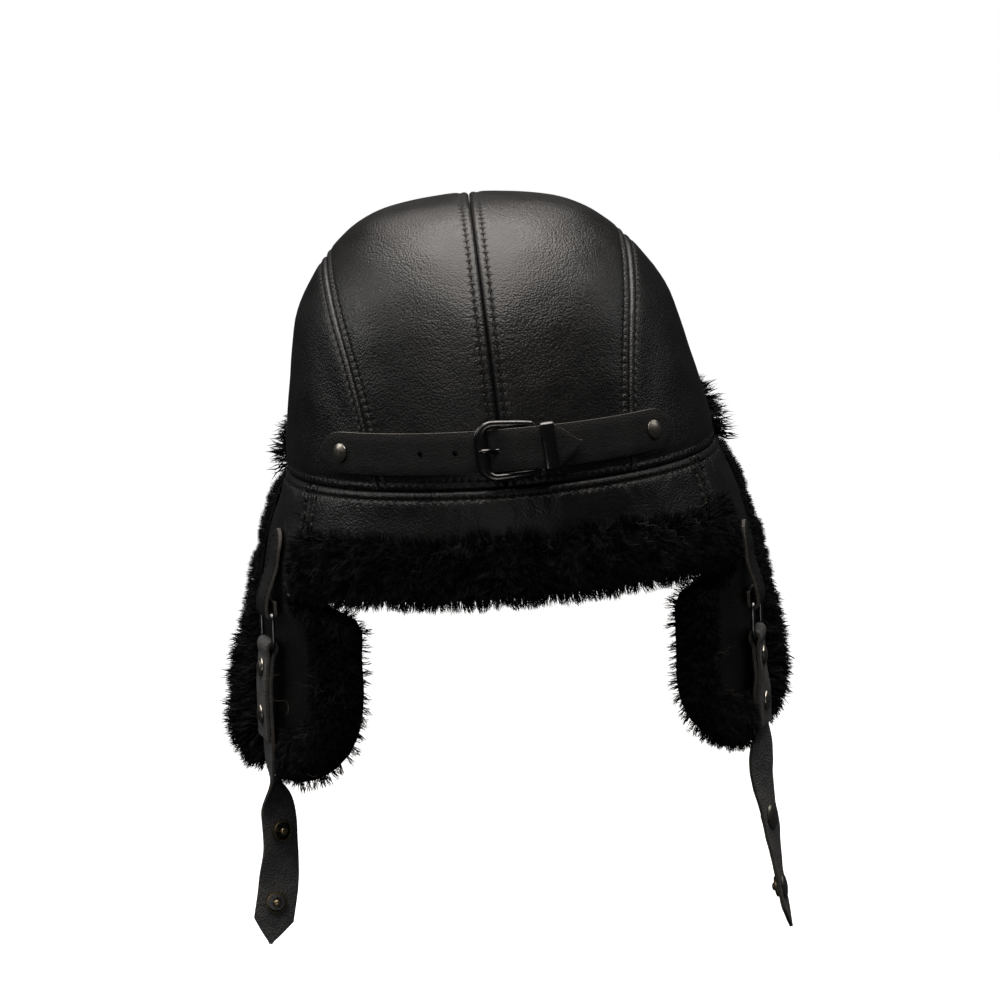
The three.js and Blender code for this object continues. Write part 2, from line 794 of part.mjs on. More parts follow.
function roundedWidth(fromEnd, width) {
  const t = clamp((2 * fromEnd) / width, 0, 1);
  return width * Math.max(Math.sqrt(1 - (1 - t) ** 2), 0.2);
}

// Holes for a rivet's shank
function drillStrap(solid, x, out, diameter) {
  const [at, axis] = backPoint(x, out);
  return solid.subtract(rod(at, axis, diameter, strapWall * 3, 8));
}

// The buckle's frame: a heel bar, two arms that open and broaden towards a front bar with round corners
const heelHalf = (strapWidth + buckleWire) / 2 + pieceGap;
const frontHalf = (buckleHeight - buckleArm) / 2;
const frameCorner = [90, 60, 30, 0].map((turn) => [
  frontPlace - buckleCorner * (1 - Math.cos(radians(turn))),
  frontHalf - buckleCorner * (1 - Math.sin(radians(turn))),
  buckleFront + (buckleArm - buckleFront) * Math.sin(radians(turn)),
]);
const frameSide = [
  [heelPlace, heelHalf * 0.5, buckleWire],
  [heelPlace, heelHalf * 0.94, buckleWire],
  [heelPlace + buckleWire / 3, heelHalf, buckleWire],
  [heelPlace + buckleWaist, (heelHalf + frontHalf) / 2, buckleArm],
  ...frameCorner,
];
const frameOutline = [
  ...frameSide,
  [frontPlace, 0, buckleFront],
  ...frameSide.map(([x, z, broad]) => [x, -z, broad]).reverse(),
];
const backNormal = backPoint((buckleLeft + buckleRight) / 2, 0)[1];
const framePath = frameOutline.map(([x, z]) => backPoint(x, frameOut, z)[0]);
const frameBroad = frameOutline.map(([, , broad]) => broad);
addPiece('buckle_frame', bar(framePath, buckleWire, 8, true, backNormal, frameBroad), gunmetal);

// The prong: an eye round the heel bar and a bar that rests on the front bar
function prong(swell) {
  const restOut = frameOut + (buckleWire + prongWire) / 2 + pieceGap;
  const eyeInner = buckleWire / 2 + pieceGap;
  const start = heelPlace + eyeInner + prongEye * 0.6;
  const line = [
    [start, frameOut],
    [start + (buckleLeft - buckleFront - start) * 0.6, frameOut + (restOut - frameOut) * 0.6],
    [buckleLeft - buckleFront, restOut],
    [frontPlace + prongWire / 2, restOut],
  ];
  const path = line.map(([x, out]) => backPoint(x, out)[0]);
  let solid = toSolid(bar(path, prongWire + 2 * swell, 6, false, backNormal));
  const half = prongWire / 2 + swell;
  const inner = swell ? 0 : eyeInner;
  const outer = swell ? foldBend + strapWall / 2 + swell / 2 : eyeInner + prongEye;
  const profile = [[inner, -half], [outer, -half], [outer, half], [inner, half], [inner, -half]];
  const [centre, , slope] = backPoint(heelPlace, frameOut);
  const eye = turned(profile, centre, slope, 12);
  solid = solid.add(toSolid(eye));
  return solid;
}
addPiece('buckle_prong', toGeometry(prong(0)), gunmetal);

// The long part: from its rivet under the buckle's front bar, over the heel bar and on to its point
const rivetPlaces = { left: strapLeftEnd - rivetInset, right: strapRightEnd + rivetInset };
const endShares = [0, 0.02, 0.08, 0.2, 0.5];
{
  const rounded = endShares.map((share) => strapLeftEnd - share * strapWidth);
  const climb = steps(6, frontPlace, heelPlace);
  const flat = steps(7, strapLeftEnd - strapWidth, frontPlace).concat(climb.slice(1, -1));
  const folded = steps(4, heelPlace, heelPlace - foldSettle - strapWall / 2);
  const point = [strapTip + strapPoint, strapTip + strapPoint / 2, strapTip];
  const stations = [...rounded, ...flat, ...folded, ...point].map((x) => {
    const [at, thin, broad] = backPoint(x, tongueOut(x));
    const pointed = strapWidth * Math.max((x - strapTip) / strapPoint, 0.08);
    const width = x < strapTip + strapPoint ? pointed : roundedWidth(strapLeftEnd - x, strapWidth);
    return { at, broad, thin, width };
  });
  let solid = toSolid(ribbon(stations, strapWall));
  for (const x of strapHolePlaces) {
    solid = drillStrap(solid, x, strapOut(x), strapHole);
  }
  solid = drillStrap(solid, rivetPlaces.left, strapOut(rivetPlaces.left), rivetShank + 2 * pieceGap);
  addPiece('back_strap_long', toGeometry(solid.subtract(prong(pieceGap))), matteBlack);
}

// The short part: from its rivet to the heel bar, round it and back over itself
{
  const rounded = endShares.map((share) => strapRightEnd + share * strapWidth);
  const flat = steps(5, strapRightEnd + strapWidth, foldReturn);
  const folded = steps(4, heelPlace, heelPlace - foldSettle - strapWall / 2);
  const station = (x, out, flip) => {
    const [at, normal, broad] = backPoint(x, out);
    const thin = normal.multiplyScalar(flip);
    return { at, broad, thin, width: roundedWidth(x - strapRightEnd, strapWidth) };
  };
  const under = [...rounded, ...flat, ...[...folded].reverse()];
  const stations = under.map((x) => station(x, strapOut(x), 1));
  for (const turn of [30, 60, 90, 120, 150]) {
    const a = radians(turn);
    const x = heelPlace + foldBend * Math.sin(a);
    const [at, normal, broad] = backPoint(x, frameOut - foldBend * Math.cos(a));
    const sideways = normal.clone().cross(broad).normalize();
    const thin = normal.clone().multiplyScalar(Math.cos(a)).addScaledVector(sideways, Math.sin(a));
    stations.push({ at, broad, thin, width: strapWidth });
  }
  for (const x of [...folded, foldReturn]) {
    stations.push(station(x, foldAt(x), -1));
  }
  let solid = toSolid(ribbon(stations, strapWall));
  solid = drillStrap(solid, rivetPlaces.right, strapOut(rivetPlaces.right), rivetShank + 2 * pieceGap);
  addPiece('back_strap_short', toGeometry(solid.subtract(prong(pieceGap))), matteBlack);
}

// The keeper: a flat metal loop round all three layers
{
  const nearHeel = keeperPlace + keeperWidth / 2;
  const inside = [strapSeat - pieceGap, foldAt(nearHeel) + strapLayer + strapWall / 2 + pieceGap];
  const half = strapWidth / 2 + pieceGap;
  const corners = [[0, -1], [1, -1], [1, 1], [0, 1]];
  const points = [];
  const faces = [];
  for (const x of [keeperPlace - keeperWidth / 2, nearHeel]) {
    for (const grow of [0, keeperWall]) {
      for (const [layer, sideways] of corners) {
        const out = inside[layer] + (layer ? grow : -grow);
        points.push(backPoint(x, out, sideways * (half + grow))[0]);
      }
    }
  }
  for (let k = 0; k < 4; k += 1) {
    const n = (k + 1) % 4;
    const ring = (end, skin, i) => end * 8 + skin * 4 + i;
    const quad = (a, b, c, d) => faces.push([a, b, c], [a, c, d]);
    quad(ring(0, 1, k), ring(0, 1, n), ring(1, 1, n), ring(1, 1, k));
    quad(ring(0, 0, n), ring(0, 0, k), ring(1, 0, k), ring(1, 0, n));
    quad(ring(0, 0, k), ring(0, 0, n), ring(0, 1, n), ring(0, 1, k));
    quad(ring(1, 0, n), ring(1, 0, k), ring(1, 1, k), ring(1, 1, n));
  }
  addPiece('buckle_keeper', outward(closed(points, faces)), gunmetal);
}

// A capped stud's profile: its shank from one height to another along its axis, and a domed cap
function stud(cap, rise, shank, from, seat) {
  return [
    [0, from],
    [shank / 2, from],
    [shank / 2, seat],
    [cap / 2, seat],
    [cap / 2, seat + rise * 0.4],
    [cap * 0.39, seat + rise * 0.85],
    [0, seat + rise],
  ];
}

for (const word of ['left', 'right']) {
  const x = rivetPlaces[word];
  const seat = strapOut(x) + strapWall / 2 + pieceGap;
  const [at, axis] = backPoint(x, 0);
  const profile = stud(rivetCap, rivetRise, rivetShank, pieceGap, seat);
  addPiece(`rivet_${word}`, turned(profile, at, axis, 12), nickel);
}

// Ear tab, ring and chin strap on each side
for (const word of ['left', 'right']) {
  const side = word === 'left' ? 1 : -1;
  const { tabAngle, tabTop } = hang[word];
  const angle = radians(tabAngle);
  const normal = earNormal(word, angle);
  const tangent = up.clone().cross(normal);
  const barDepth = tabTop + tabLength;
  const bend = ringWire / 2 + pieceGap + tabWall / 2;
  const ringOut = tabSeat + tabWall / 2 + bend;
  const near = tabSeat + tabWall / 2;
  const far = ringOut + bend;
  const tabStation = (depth, out, flip, fromEnd) => ({
    at: earPoint(word, angle, depth, out),
    broad: tangent,
    thin: normal.clone().multiplyScalar(flip),
    width: roundedWidth(fromEnd, tabWidth),
  });
  const stations = [0, 0.5, 2, 5, 11, 16].map((d) => tabStation(tabTop + d, near, 1, d));
  for (const share of [0.55, 0.7, 0.85]) {
    const depth = tabTop + tabLength * share;
    stations.push(tabStation(depth, near + (far - near) * smooth(share, 0.4, 0.95), 1, tabWidth));
  }
  for (const turn of [0, 30, 60, 90, 120, 150, 180]) {
    const a = radians(turn);
    const thin = normal.clone().multiplyScalar(Math.cos(a)).addScaledVector(up, -Math.sin(a));
    const at = earPoint(word, angle, barDepth, ringOut);
    at.addScaledVector(thin, bend);
    stations.push({ at, broad: tangent, thin, width: tabWidth });
  }
  const inside = earPoint(word, angle, barDepth, near);
  inside.z += tabWall * 3;
  stations.push({ at: inside, broad: tangent, thin: normal.clone().negate(), width: tabWidth });
  addPiece(`ear_tab_${word}`, ribbon(stations, tabWall), matteBlack);

  const ringTop = earPoint(word, angle, barDepth, ringOut);
  const hanging = earPoint(word, angle, barDepth + ringHeight, ringOut).sub(ringTop).normalize();
  const ringPath = [];
  const ringWidth = Math.max(chinWidth, tabWidth) + 2 * (ringCorner + pieceGap);
  for (const [a, b] of [[1, 0], [1, -1], [-1, -1], [-1, 0]]) {
    for (const turn of [0, 45, 90]) {
      const flip = (a > 0) === (b === 0);
      const t = radians(flip ? 90 - turn : turn);
      const across = a * (ringWidth / 2 - ringCorner * (1 - Math.cos(t)));
      const dropped = ringCorner * (1 - Math.sin(t));
      const drop = b === 0 ? dropped : ringHeight - dropped;
      ringPath.push(ringTop.clone().addScaledVector(tangent, across).addScaledVector(hanging, drop));
    }
  }
  addPiece(`ring_${word}`, bar(ringPath, ringWire, 8, true, normal), gunmetal);

  // The strap's outer layer runs up from its fold's end, round the ring, and the inner one down
  const chinBend = ringWire / 2 + pieceGap + chinWall / 2;
  const barCentre = ringTop.clone().addScaledVector(hanging, ringHeight);
  const course = chinCourse[word];
  const frameAt = (length) => {
    const share = clamp(length / chinLength, 0, 1);
    const turn = Math.asin(normal.y) + radians(lookUp(course, 'along', 'turn', share));
    const placeAt = (part) => {
      const shift = lookUp(course, 'along', 'shift', part) * chinLength;
      return barCentre.clone().addScaledVector(normal, shift).addScaledVector(up, -part * chinLength);
    };
    const rising = placeAt(Math.max(share - 0.01, 0)).sub(placeAt(Math.min(share + 0.01, 1))).normalize();
    const thin = vec(side * Math.cos(turn), Math.sin(turn), 0);
    thin.addScaledVector(rising, -thin.dot(rising)).normalize();
    return { at: placeAt(share), thin, rising, broad: rising.clone().cross(thin) };
  };
  const rest = (chinWall + pieceGap) / 2;
  const layerOut = (length) => chinBend + (rest - chinBend) * smooth(length, 1, foldEase);
  const layer = (length, skin, flip, width) => {
    const place = frameAt(length);
    const at = place.at.addScaledVector(place.thin, skin * layerOut(length));
    return { at, broad: place.broad, thin: place.thin.multiplyScalar(flip), width };
  };
  const foldPlaces = [...steps(3, 0, foldEase), 0.4 * chinFold, 0.7 * chinFold, chinFold];
  const chin = [...foldPlaces].reverse().map((length) => layer(length, 1, 1, chinWidth));
  const top = frameAt(0);
  for (const turn of [36, 72, 108, 144]) {
    const a = radians(turn);
    const thin = top.thin.clone().multiplyScalar(Math.cos(a)).addScaledVector(top.rising, Math.sin(a));
    const at = top.at.clone().addScaledVector(thin, chinBend);
    chin.push({ at, broad: top.broad, thin, width: chinWidth });
  }
  for (const length of [...foldPlaces, ...steps(10, chinFold + foldEase, chinLength - chinPoint)]) {
    chin.push(layer(length, -1, -1, chinWidth));
  }
  chin.push(layer(chinLength - chinPoint / 2, -1, -1, chinWidth * 0.55));
  chin.push(layer(chinLength, -1, -1, chinWidth * 0.08));
  let solid = toSolid(ribbon(chin, chinWall));
  const snaps = [];
  const lonePlaces = loneSnaps.map((share) => share * chinLength);
  [...foldSnaps.map((share) => share * chinFold), ...lonePlaces].forEach((length, i) => {
    const folded = i < foldSnaps.length;
    const { at, thin } = frameAt(length);
    const half = chinWall / 2 + pieceGap;
    const [base, back] = folded ? [snapFoot, snapBack] : [studFoot, studBack];
    const foot = -layerOut(length) - half;
    const seat = (folded ? 1 : -1) * layerOut(length) + half;
    solid = solid.subtract(rod(at, thin, snapShank + 2 * pieceGap, chinWall * 6, 8));
    const profile = [
      [0, foot - back],
      [base / 2, foot - back],
      [base / 2, foot],
      ...stud(folded ? snapCap : studCap, snapRise, snapShank, foot, seat).slice(1),
    ];
    const snap = turned(profile, at, thin, 8);
    snaps.push(toSolid(snap));
    addPiece(`snap_${word}_${i + 1}`, snap, folded ? nickel : brass);
  });
  addPiece(`chin_strap_${word}`, toGeometry(solid), matteBlack);
  let fur = clearOf(earFur[word], toSolid(ribbon(chin, chinWall)));
  for (const snap of snaps) {
    fur = clearOf(fur, snap);
  }
  addPiece(`ear_fur_${word}`, toGeometry(fur), wool);
}

export default hat;
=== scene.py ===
import math

import bpy
import bmesh
import numpy as np
from mathutils import Matrix, Vector


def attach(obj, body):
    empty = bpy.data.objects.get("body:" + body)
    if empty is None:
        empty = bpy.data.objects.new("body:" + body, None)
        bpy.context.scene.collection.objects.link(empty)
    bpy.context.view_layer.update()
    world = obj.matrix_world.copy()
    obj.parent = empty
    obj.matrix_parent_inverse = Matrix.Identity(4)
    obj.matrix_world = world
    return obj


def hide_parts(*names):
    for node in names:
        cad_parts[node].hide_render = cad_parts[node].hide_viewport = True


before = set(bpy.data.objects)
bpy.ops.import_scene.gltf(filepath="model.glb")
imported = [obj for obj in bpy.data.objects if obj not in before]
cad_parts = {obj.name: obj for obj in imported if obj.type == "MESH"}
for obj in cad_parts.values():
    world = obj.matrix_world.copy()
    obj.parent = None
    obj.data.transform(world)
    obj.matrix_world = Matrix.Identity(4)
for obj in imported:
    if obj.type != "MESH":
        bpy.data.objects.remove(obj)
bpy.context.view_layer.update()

# Lengths in this script are millimetres over the rim seam, as on the pattern, and metres() turns
# them into the frame's own metres, where the origin is the top of the head space.
hat = {
    "halfWidth": 108.0,
    "halfLength": 121.0,
    "height": 131.0,
    "leather": 2.0,
    "lining": 12.0,
    "gap": 0.3,
    "lean": 6.5,
    "seamDip": 2.2,
    "liningClearance": 1.1,
    "skinClearance": 0.95,
    "seamAtRim": 0.555,
    "seamAtMiddle": 0.425,
    "stitchPitch": 4.4,
    "stitchFromSeam": 4.1,
    "crownArc": 190.0,
    "meanRadius": 115.0,
}
skirt = {
    "neckCorner": 31.6,
    "sideFlare": 15.0,
    "backFlare": 4.0,
    "flareDepth": 60.0,
    "neckDrop": 46.0,
    "neckLiningDrop": 50.0,
    "neckLining": 10.0,
    "neckFurTop": 21.0,
    "neckFurBottom": 53.0,
}
ear = {
    "drop": 150.0,
    "round": 46.0,
    "rearAngle": 50.5,
    "frontAngle": -22.0,
    "widen": 11.0,
    "tipAngle": 22.0,
    "taper": 14.0,
    "leatherInset": 11.0,
    "lining": 12.0,
    "border": 36.0,
    "borderFront": 26.0,
    "borderTop": 7.0,
    "borderLead": 3.0,
    "insetFade": 24.0,
    "curlSpan": 19.0,
    "curlAngle": 11.0,
}
brow = {"endAngle": 25.0, "low": -6.0, "high": 66.0, "corner": 54.0, "clearance": 0.9}
crownSections = np.array([
    (0, 0, 1),
    (0.106, 0.19, 0.992),
    (0.213, 0.38, 0.967),
    (0.303, 0.528, 0.916),
    (0.405, 0.667, 0.825),
    (0.495, 0.773, 0.718),
    (0.606, 0.866, 0.573),
    (0.75, 0.935, 0.366),
    (0.875, 0.972, 0.183),
    (1, 1, 0),
])
arcShare, reachShare, riseShare = crownSections.T
headTop = (
    hat["height"] - hat["leather"] - hat["seamDip"] - hat["liningClearance"] - hat["lining"]
)
sides = {"left": 1, "right": -1}
hang = {
    "left": {"swing": 8.0, "curl": 6.0, "tabAngle": 18.0, "tabTop": 24.0, "woolPast": 0.0,
             "woolInset": (1.0, 5.5, 2.0), "frontWool": 1.25},
    "right": {"swing": -4.0, "curl": 6.0, "tabAngle": 16.0, "tabTop": 38.0, "woolPast": 4.5,
              "woolInset": (8.0, 5.0, 2.5), "frontWool": 0.9},
}


def metres(points):
    out = np.array(points, dtype=float)
    out[..., 2] -= headTop
    return out * 0.001


def curveThrough(xs, ys, place):
    # smooth curve through a short table, as the pattern's sections are joined
    if xs[0] > xs[-1]:
        xs, ys = xs[::-1], ys[::-1]
    place = np.asarray(place, dtype=float)
    slopes = np.empty(len(xs))
    slopes[1:-1] = (ys[2:] - ys[:-2]) / (xs[2:] - xs[:-2])
    slopes[0] = (ys[1] - ys[0]) / (xs[1] - xs[0])
    slopes[-1] = (ys[-1] - ys[-2]) / (xs[-1] - xs[-2])
    i = np.clip(np.searchsorted(xs, place) - 1, 0, len(xs) - 2)
    span = xs[i + 1] - xs[i]
    t = np.clip((place - xs[i]) / span, 0, 1)
    return (
        (2 * t**3 - 3 * t**2 + 1) * ys[i]
        + (t**3 - 2 * t**2 + t) * span * slopes[i]
        + (3 * t**2 - 2 * t**3) * ys[i + 1]
        + (t**3 - t**2) * span * slopes[i + 1]
    )


def smooth(x, low, high):
    t = np.clip((np.asarray(x, dtype=float) - low) / (high - low), 0, 1)
    return t * t * (3 - 2 * t)


def unit(v):
    return v / np.maximum(np.linalg.norm(v, axis=-1, keepdims=True), 1e-9)


def ripple(points, size, seed, waves=9):
    # soft uneven relief between about -1 and 1, with bumps of the given size
    rng = np.random.default_rng(seed)
    total = np.zeros(points.shape[:-1])
    for _ in range(waves):
        way = unit(rng.normal(size=3))
        total += np.sin(points @ way * (2 * math.pi / (size * rng.uniform(0.7, 1.5))) + rng.uniform(0, 6.3))
    return total / math.sqrt(waves)


def crownPoint(p, q):
    arc = np.minimum(np.hypot(p, q), 1)
    angle = np.arctan2(q, p)
    reach = curveThrough(arcShare, reachShare, arc)
    rise = curveThrough(arcShare, riseShare, arc)
    return np.stack([
        hat["halfWidth"] * reach * np.cos(angle),
        hat["halfLength"] * reach * np.sin(angle),
        hat["height"] * rise,
    ], axis=-1)


def leanAt(height):
    return hat["lean"] * np.maximum(height, 0) / hat["height"]


def crownNormal(p, q):
    step = 0.004
    arc = np.hypot(p, q)
    inward = np.where(arc > 1 - step, (1 - 2 * step) / np.maximum(arc, 1e-6), 1)
    a, b = p * inward, q * inward
    alongP = crownPoint(a + step, b) - crownPoint(a - step, b)
    alongQ = crownPoint(a, b + step) - crownPoint(a, b - step)
    return unit(np.cross(alongP, alongQ))


def centreLine(share, along):
    rim = share * hat["seamAtRim"]
    middle = share * hat["seamAtMiddle"]
    back = 1 - 2 * along
    return middle + (rim - middle) * back**2, np.sqrt(1 - rim**2) * back


def sideLine(share, along):
    seamP, seamQ = centreLine(1.0, along)
    corner = math.acos(hat["seamAtRim"])
    angle = corner * (1 - 2 * along)
    return seamP + (np.cos(angle) - seamP) * share, seamQ + (np.sin(angle) - seamQ) * share


def flareAt(angle, depth):
    opening = np.sin(np.clip(depth / skirt["flareDepth"], 0, 1) * math.pi / 2)
    sideways = np.cos(angle) ** 2
    return (skirt["backFlare"] + (skirt["sideFlare"] - skirt["backFlare"]) * sideways) * opening


def wallNormal(angle):
    angle = np.asarray(angle, dtype=float)
    return unit(np.stack([
        hat["halfLength"] * np.cos(angle), hat["halfWidth"] * np.sin(angle), 0 * angle,
    ], axis=-1))


def wallPoint(angle, height, out):
    angle, height, out = np.broadcast_arrays(
        np.asarray(angle, dtype=float), np.asarray(height, dtype=float), np.asarray(out, dtype=float)
    )
    reach = curveThrough(riseShare, reachShare, np.maximum(height, 0) / hat["height"])
    point = np.stack([
        hat["halfWidth"] * reach * np.cos(angle) + leanAt(height),
        hat["halfLength"] * reach * np.sin(angle),
        height,
    ], axis=-1)
    flare = np.where(height < 0, flareAt(angle, np.maximum(-height, 0)), 0)
    return point + wallNormal(angle) * (out + flare)[..., None]


def earPoint(word, angle, depth, out):
    depth = np.asarray(depth, dtype=float)
    point = wallPoint(angle, -depth, out)
    side = hang[word]
    forward = smooth(math.radians(ear["curlAngle"]) - np.asarray(angle), 0, math.radians(ear["curlSpan"]))
    point[..., 0] += (side["swing"] + side["curl"] * forward) * (depth / ear["drop"]) ** 2
    point[..., 0] *= sides[word]
    return point


def earEdge(edge, depth, inset):
    depth = np.asarray(depth, dtype=float)
    straightDepth = ear["drop"] - ear["round"]
    furTop, furBottom = skirt["neckFurTop"], skirt["neckFurBottom"]
    widened = smooth(depth, furBottom, furBottom + ear["widen"])
    if edge > 0:
        straight = skirt["neckCorner"] + (ear["rearAngle"] - skirt["neckCorner"]) * widened
        fade = smooth(depth, furTop, furBottom)
    else:
        straight = ear["frontAngle"] + ear["taper"] * np.clip(depth / straightDepth, 0, 1)
        fade = np.clip(depth / ear["insetFade"], 0, 1)
    t = np.clip((depth - straightDepth) / (ear["round"] - inset), 0, 1)
    tip = math.radians(ear["tipAngle"])
    full = np.radians(straight) - edge * inset * fade / hat["halfLength"]
    return tip + (full - tip) * np.sqrt(np.maximum(1 - t * t, 0))


# Meshes


def addObject(name, data):
    made = bpy.data.objects.new(name, data)
    bpy.context.scene.collection.objects.link(made)
    return made


def makePiece(name, vertices, faces, materials):
    mesh = bpy.data.meshes.new(name)
    mesh.from_pydata(metres(vertices).tolist(), [], faces)
    mesh.validate()
    for material in materials:
        mesh.materials.append(material)
    for polygon in mesh.polygons:
        polygon.use_smooth = True
    return addObject(name, mesh)


def turnOutward(piece):
    if signedVolume(piece.data) < 0:
        piece.data.flip_normals()


def tubeFaces(rows, turns, swap=False, loop=False):
    # quads round a tube, row by row; swap turns them over, loop joins the last row to the first
    j, k = np.meshgrid(np.arange(rows if loop else rows - 1), np.arange(turns), indexing="ij")
    low, high, after = j * turns, (j + 1) % rows * turns, (k + 1) % turns
    quads = np.stack([low + k, low + after, high + after, high + k], axis=-1).reshape(-1, 4)
    return (quads[:, [0, 3, 2, 1]] if swap else quads).tolist()


def rodFaces(rows, turns, swap=False):
    # a tube with both ends closed
    ends = [list(range(turns)), list(range((rows - 1) * turns, rows * turns))]
    ends[swap].reverse()
    return tubeFaces(rows, turns, swap) + ends


def gridFaces(rows, columns, start=0, flip=False):
    j, i = np.meshgrid(np.arange(rows - 1), np.arange(columns - 1), indexing="ij")
    a = start + j * columns + i
    quads = np.stack([a, a + 1, a + columns + 1, a + columns], axis=-1).reshape(-1, 4)
    return (quads[:, ::-1] if flip else quads).tolist()


def shell(name, outer, inner, materials, maps=None):
    # closed wall between two grids of points; maps gives UV layers from values on the outer grid
    rows, columns = outer.shape[:2]
    size = rows * columns
    points = np.concatenate([outer.reshape(-1, 3), inner.reshape(-1, 3)])
    faces = gridFaces(rows, columns) + gridFaces(rows, columns, size, True)
    edge = list(range(columns))
    edge += [j * columns + columns - 1 for j in range(1, rows)]
    edge += [(rows - 1) * columns + i for i in range(columns - 2, -1, -1)]
    edge += [j * columns for j in range(rows - 2, 0, -1)]
    for a, b in zip(edge, edge[1:] + edge[:1]):
        faces.append([b, a, a + size, b + size])
    piece = makePiece(name, points, faces, materials)
    turnOutward(piece)
    for label, values in (maps or {}).items():
        both = np.concatenate([values.reshape(-1, 2)] * 2).astype(np.float32)
        layer = piece.data.uv_layers.new(name=label)
        corner = np.empty(len(piece.data.loops), dtype=np.int32)
        piece.data.loops.foreach_get("vertex_index", corner)
        layer.data.foreach_set("uv", both[corner].reshape(-1))
    return piece


def signedVolume(mesh):
    mesh.calc_loop_triangles()
    corners = np.empty(len(mesh.loop_triangles) * 3, dtype=np.int32)
    mesh.loop_triangles.foreach_get("vertices", corners)
    co = np.empty(len(mesh.vertices) * 3)
    mesh.vertices.foreach_get("co", co)
    a, b, c = co.reshape(-1, 3)[corners.reshape(-1, 3)].transpose(1, 0, 2)
    return float(np.einsum("ij,ij->i", a, np.cross(b, c)).sum())


def finishPiece(piece, slotName, *nodes):
    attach(piece, "root")
    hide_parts(*nodes)
    return piece


# Camera

shot = {"azimuth": 179.4, "elevation": 8.3, "roll": -4.3, "lens": 100.0, "sensor": 36.0, "distance": 1.40}
imageSize = 1000
seamPixel = (501, 451)


def setCamera():
    target = Vector((0, 0, -headTop * 0.001))
    az, el = math.radians(shot["azimuth"]), math.radians(shot["elevation"])
    away = Vector((math.sin(az) * math.cos(el), -math.cos(az) * math.cos(el), math.sin(el)))
    data = bpy.data.cameras.new("camera")
    camera = addObject("camera", data)
    turn = away.to_track_quat("Z", "Y").to_matrix().to_4x4()
    roll = Matrix.Rotation(math.radians(shot["roll"]), 4, "Z")
    camera.matrix_world = Matrix.Translation(target + away * shot["distance"]) @ turn @ roll
    data.lens = shot["lens"]
    data.sensor_width = shot["sensor"]
    data.shift_x = -(seamPixel[0] - imageSize / 2) / imageSize
    data.shift_y = -(imageSize / 2 - seamPixel[1]) / imageSize
    data.clip_end = 50
    bpy.context.scene.camera = camera


setCamera()


# Materials


class Nodes:
    # short words for building a tree of nodes

    def __init__(self, tree):
        self.tree = tree

    def add(self, kind, inputs=None, **values):
        made = self.tree.nodes.new(kind)
        for key, value in values.items():
            setattr(made, key, value)
        self.give(made, inputs or {})
        return made

    def give(self, node, inputs):
        for key, value in inputs.items():
            if isinstance(value, bpy.types.NodeSocket):
                self.wire(value, node.inputs[key])
            else:
                node.inputs[key].default_value = value

    def wire(self, source, target):
        self.tree.links.new(source, target)

    def calc(self, operation, a, b=None, clampIt=False):
        values = {0: a} if b is None else {0: a, 1: b}
        return self.add("ShaderNodeMath", values, operation=operation, use_clamp=clampIt).outputs[0]

    def vector(self, operation, a, b):
        return self.add("ShaderNodeVectorMath", {0: a, 1: b}, operation=operation).outputs[0]

    def scaled(self, vector, size):
        return self.add("ShaderNodeVectorMath", {0: vector, "Scale": size}, operation="SCALE").outputs[0]


class Sheet(Nodes):
    # the nodes of one material

    def __init__(self, name):
        self.material = bpy.data.materials.new(name)
        self.material.use_nodes = True
        super().__init__(self.material.node_tree)
        self.shader = self.tree.nodes["Principled BSDF"]

    def finish(self, inputs):
        self.give(self.shader, inputs)
        return self.material

    def spread(self, value, low, high, toLow, toHigh):
        return self.add("ShaderNodeMapRange", {
            "Value": value, "From Min": low, "From Max": high, "To Min": toLow, "To Max": toHigh,
        }, interpolation_type="SMOOTHSTEP").outputs[0]

    def place(self):
        return self.add("ShaderNodeTexCoord").outputs["Object"]

    def noise(self, where, scale, detail=2.0, rough=0.5, warp=0.0):
        return self.add("ShaderNodeTexNoise", {
            "Vector": where, "Scale": scale, "Detail": detail, "Roughness": rough, "Distortion": warp,
        }).outputs[0]

    def cells(self, where, scale):
        made = self.add("ShaderNodeTexVoronoi", {"Vector": where, "Scale": scale}, feature="F1")
        return made.outputs["Distance"]

    def colours(self, value, low, high):
        made = self.add("ShaderNodeValToRGB", {0: value})
        for stop, place, colour in zip(made.color_ramp.elements, (0.3, 0.7), (low, high)):
            stop.position = place
            stop.color = (*colour, 1)
        return made.outputs[0]

    def bump(self, height, strength, distance, under=None):
        inputs = {"Strength": strength, "Distance": distance, "Height": height}
        if under is not None:
            inputs["Normal"] = under
        return self.add("ShaderNodeBump", inputs).outputs[0]


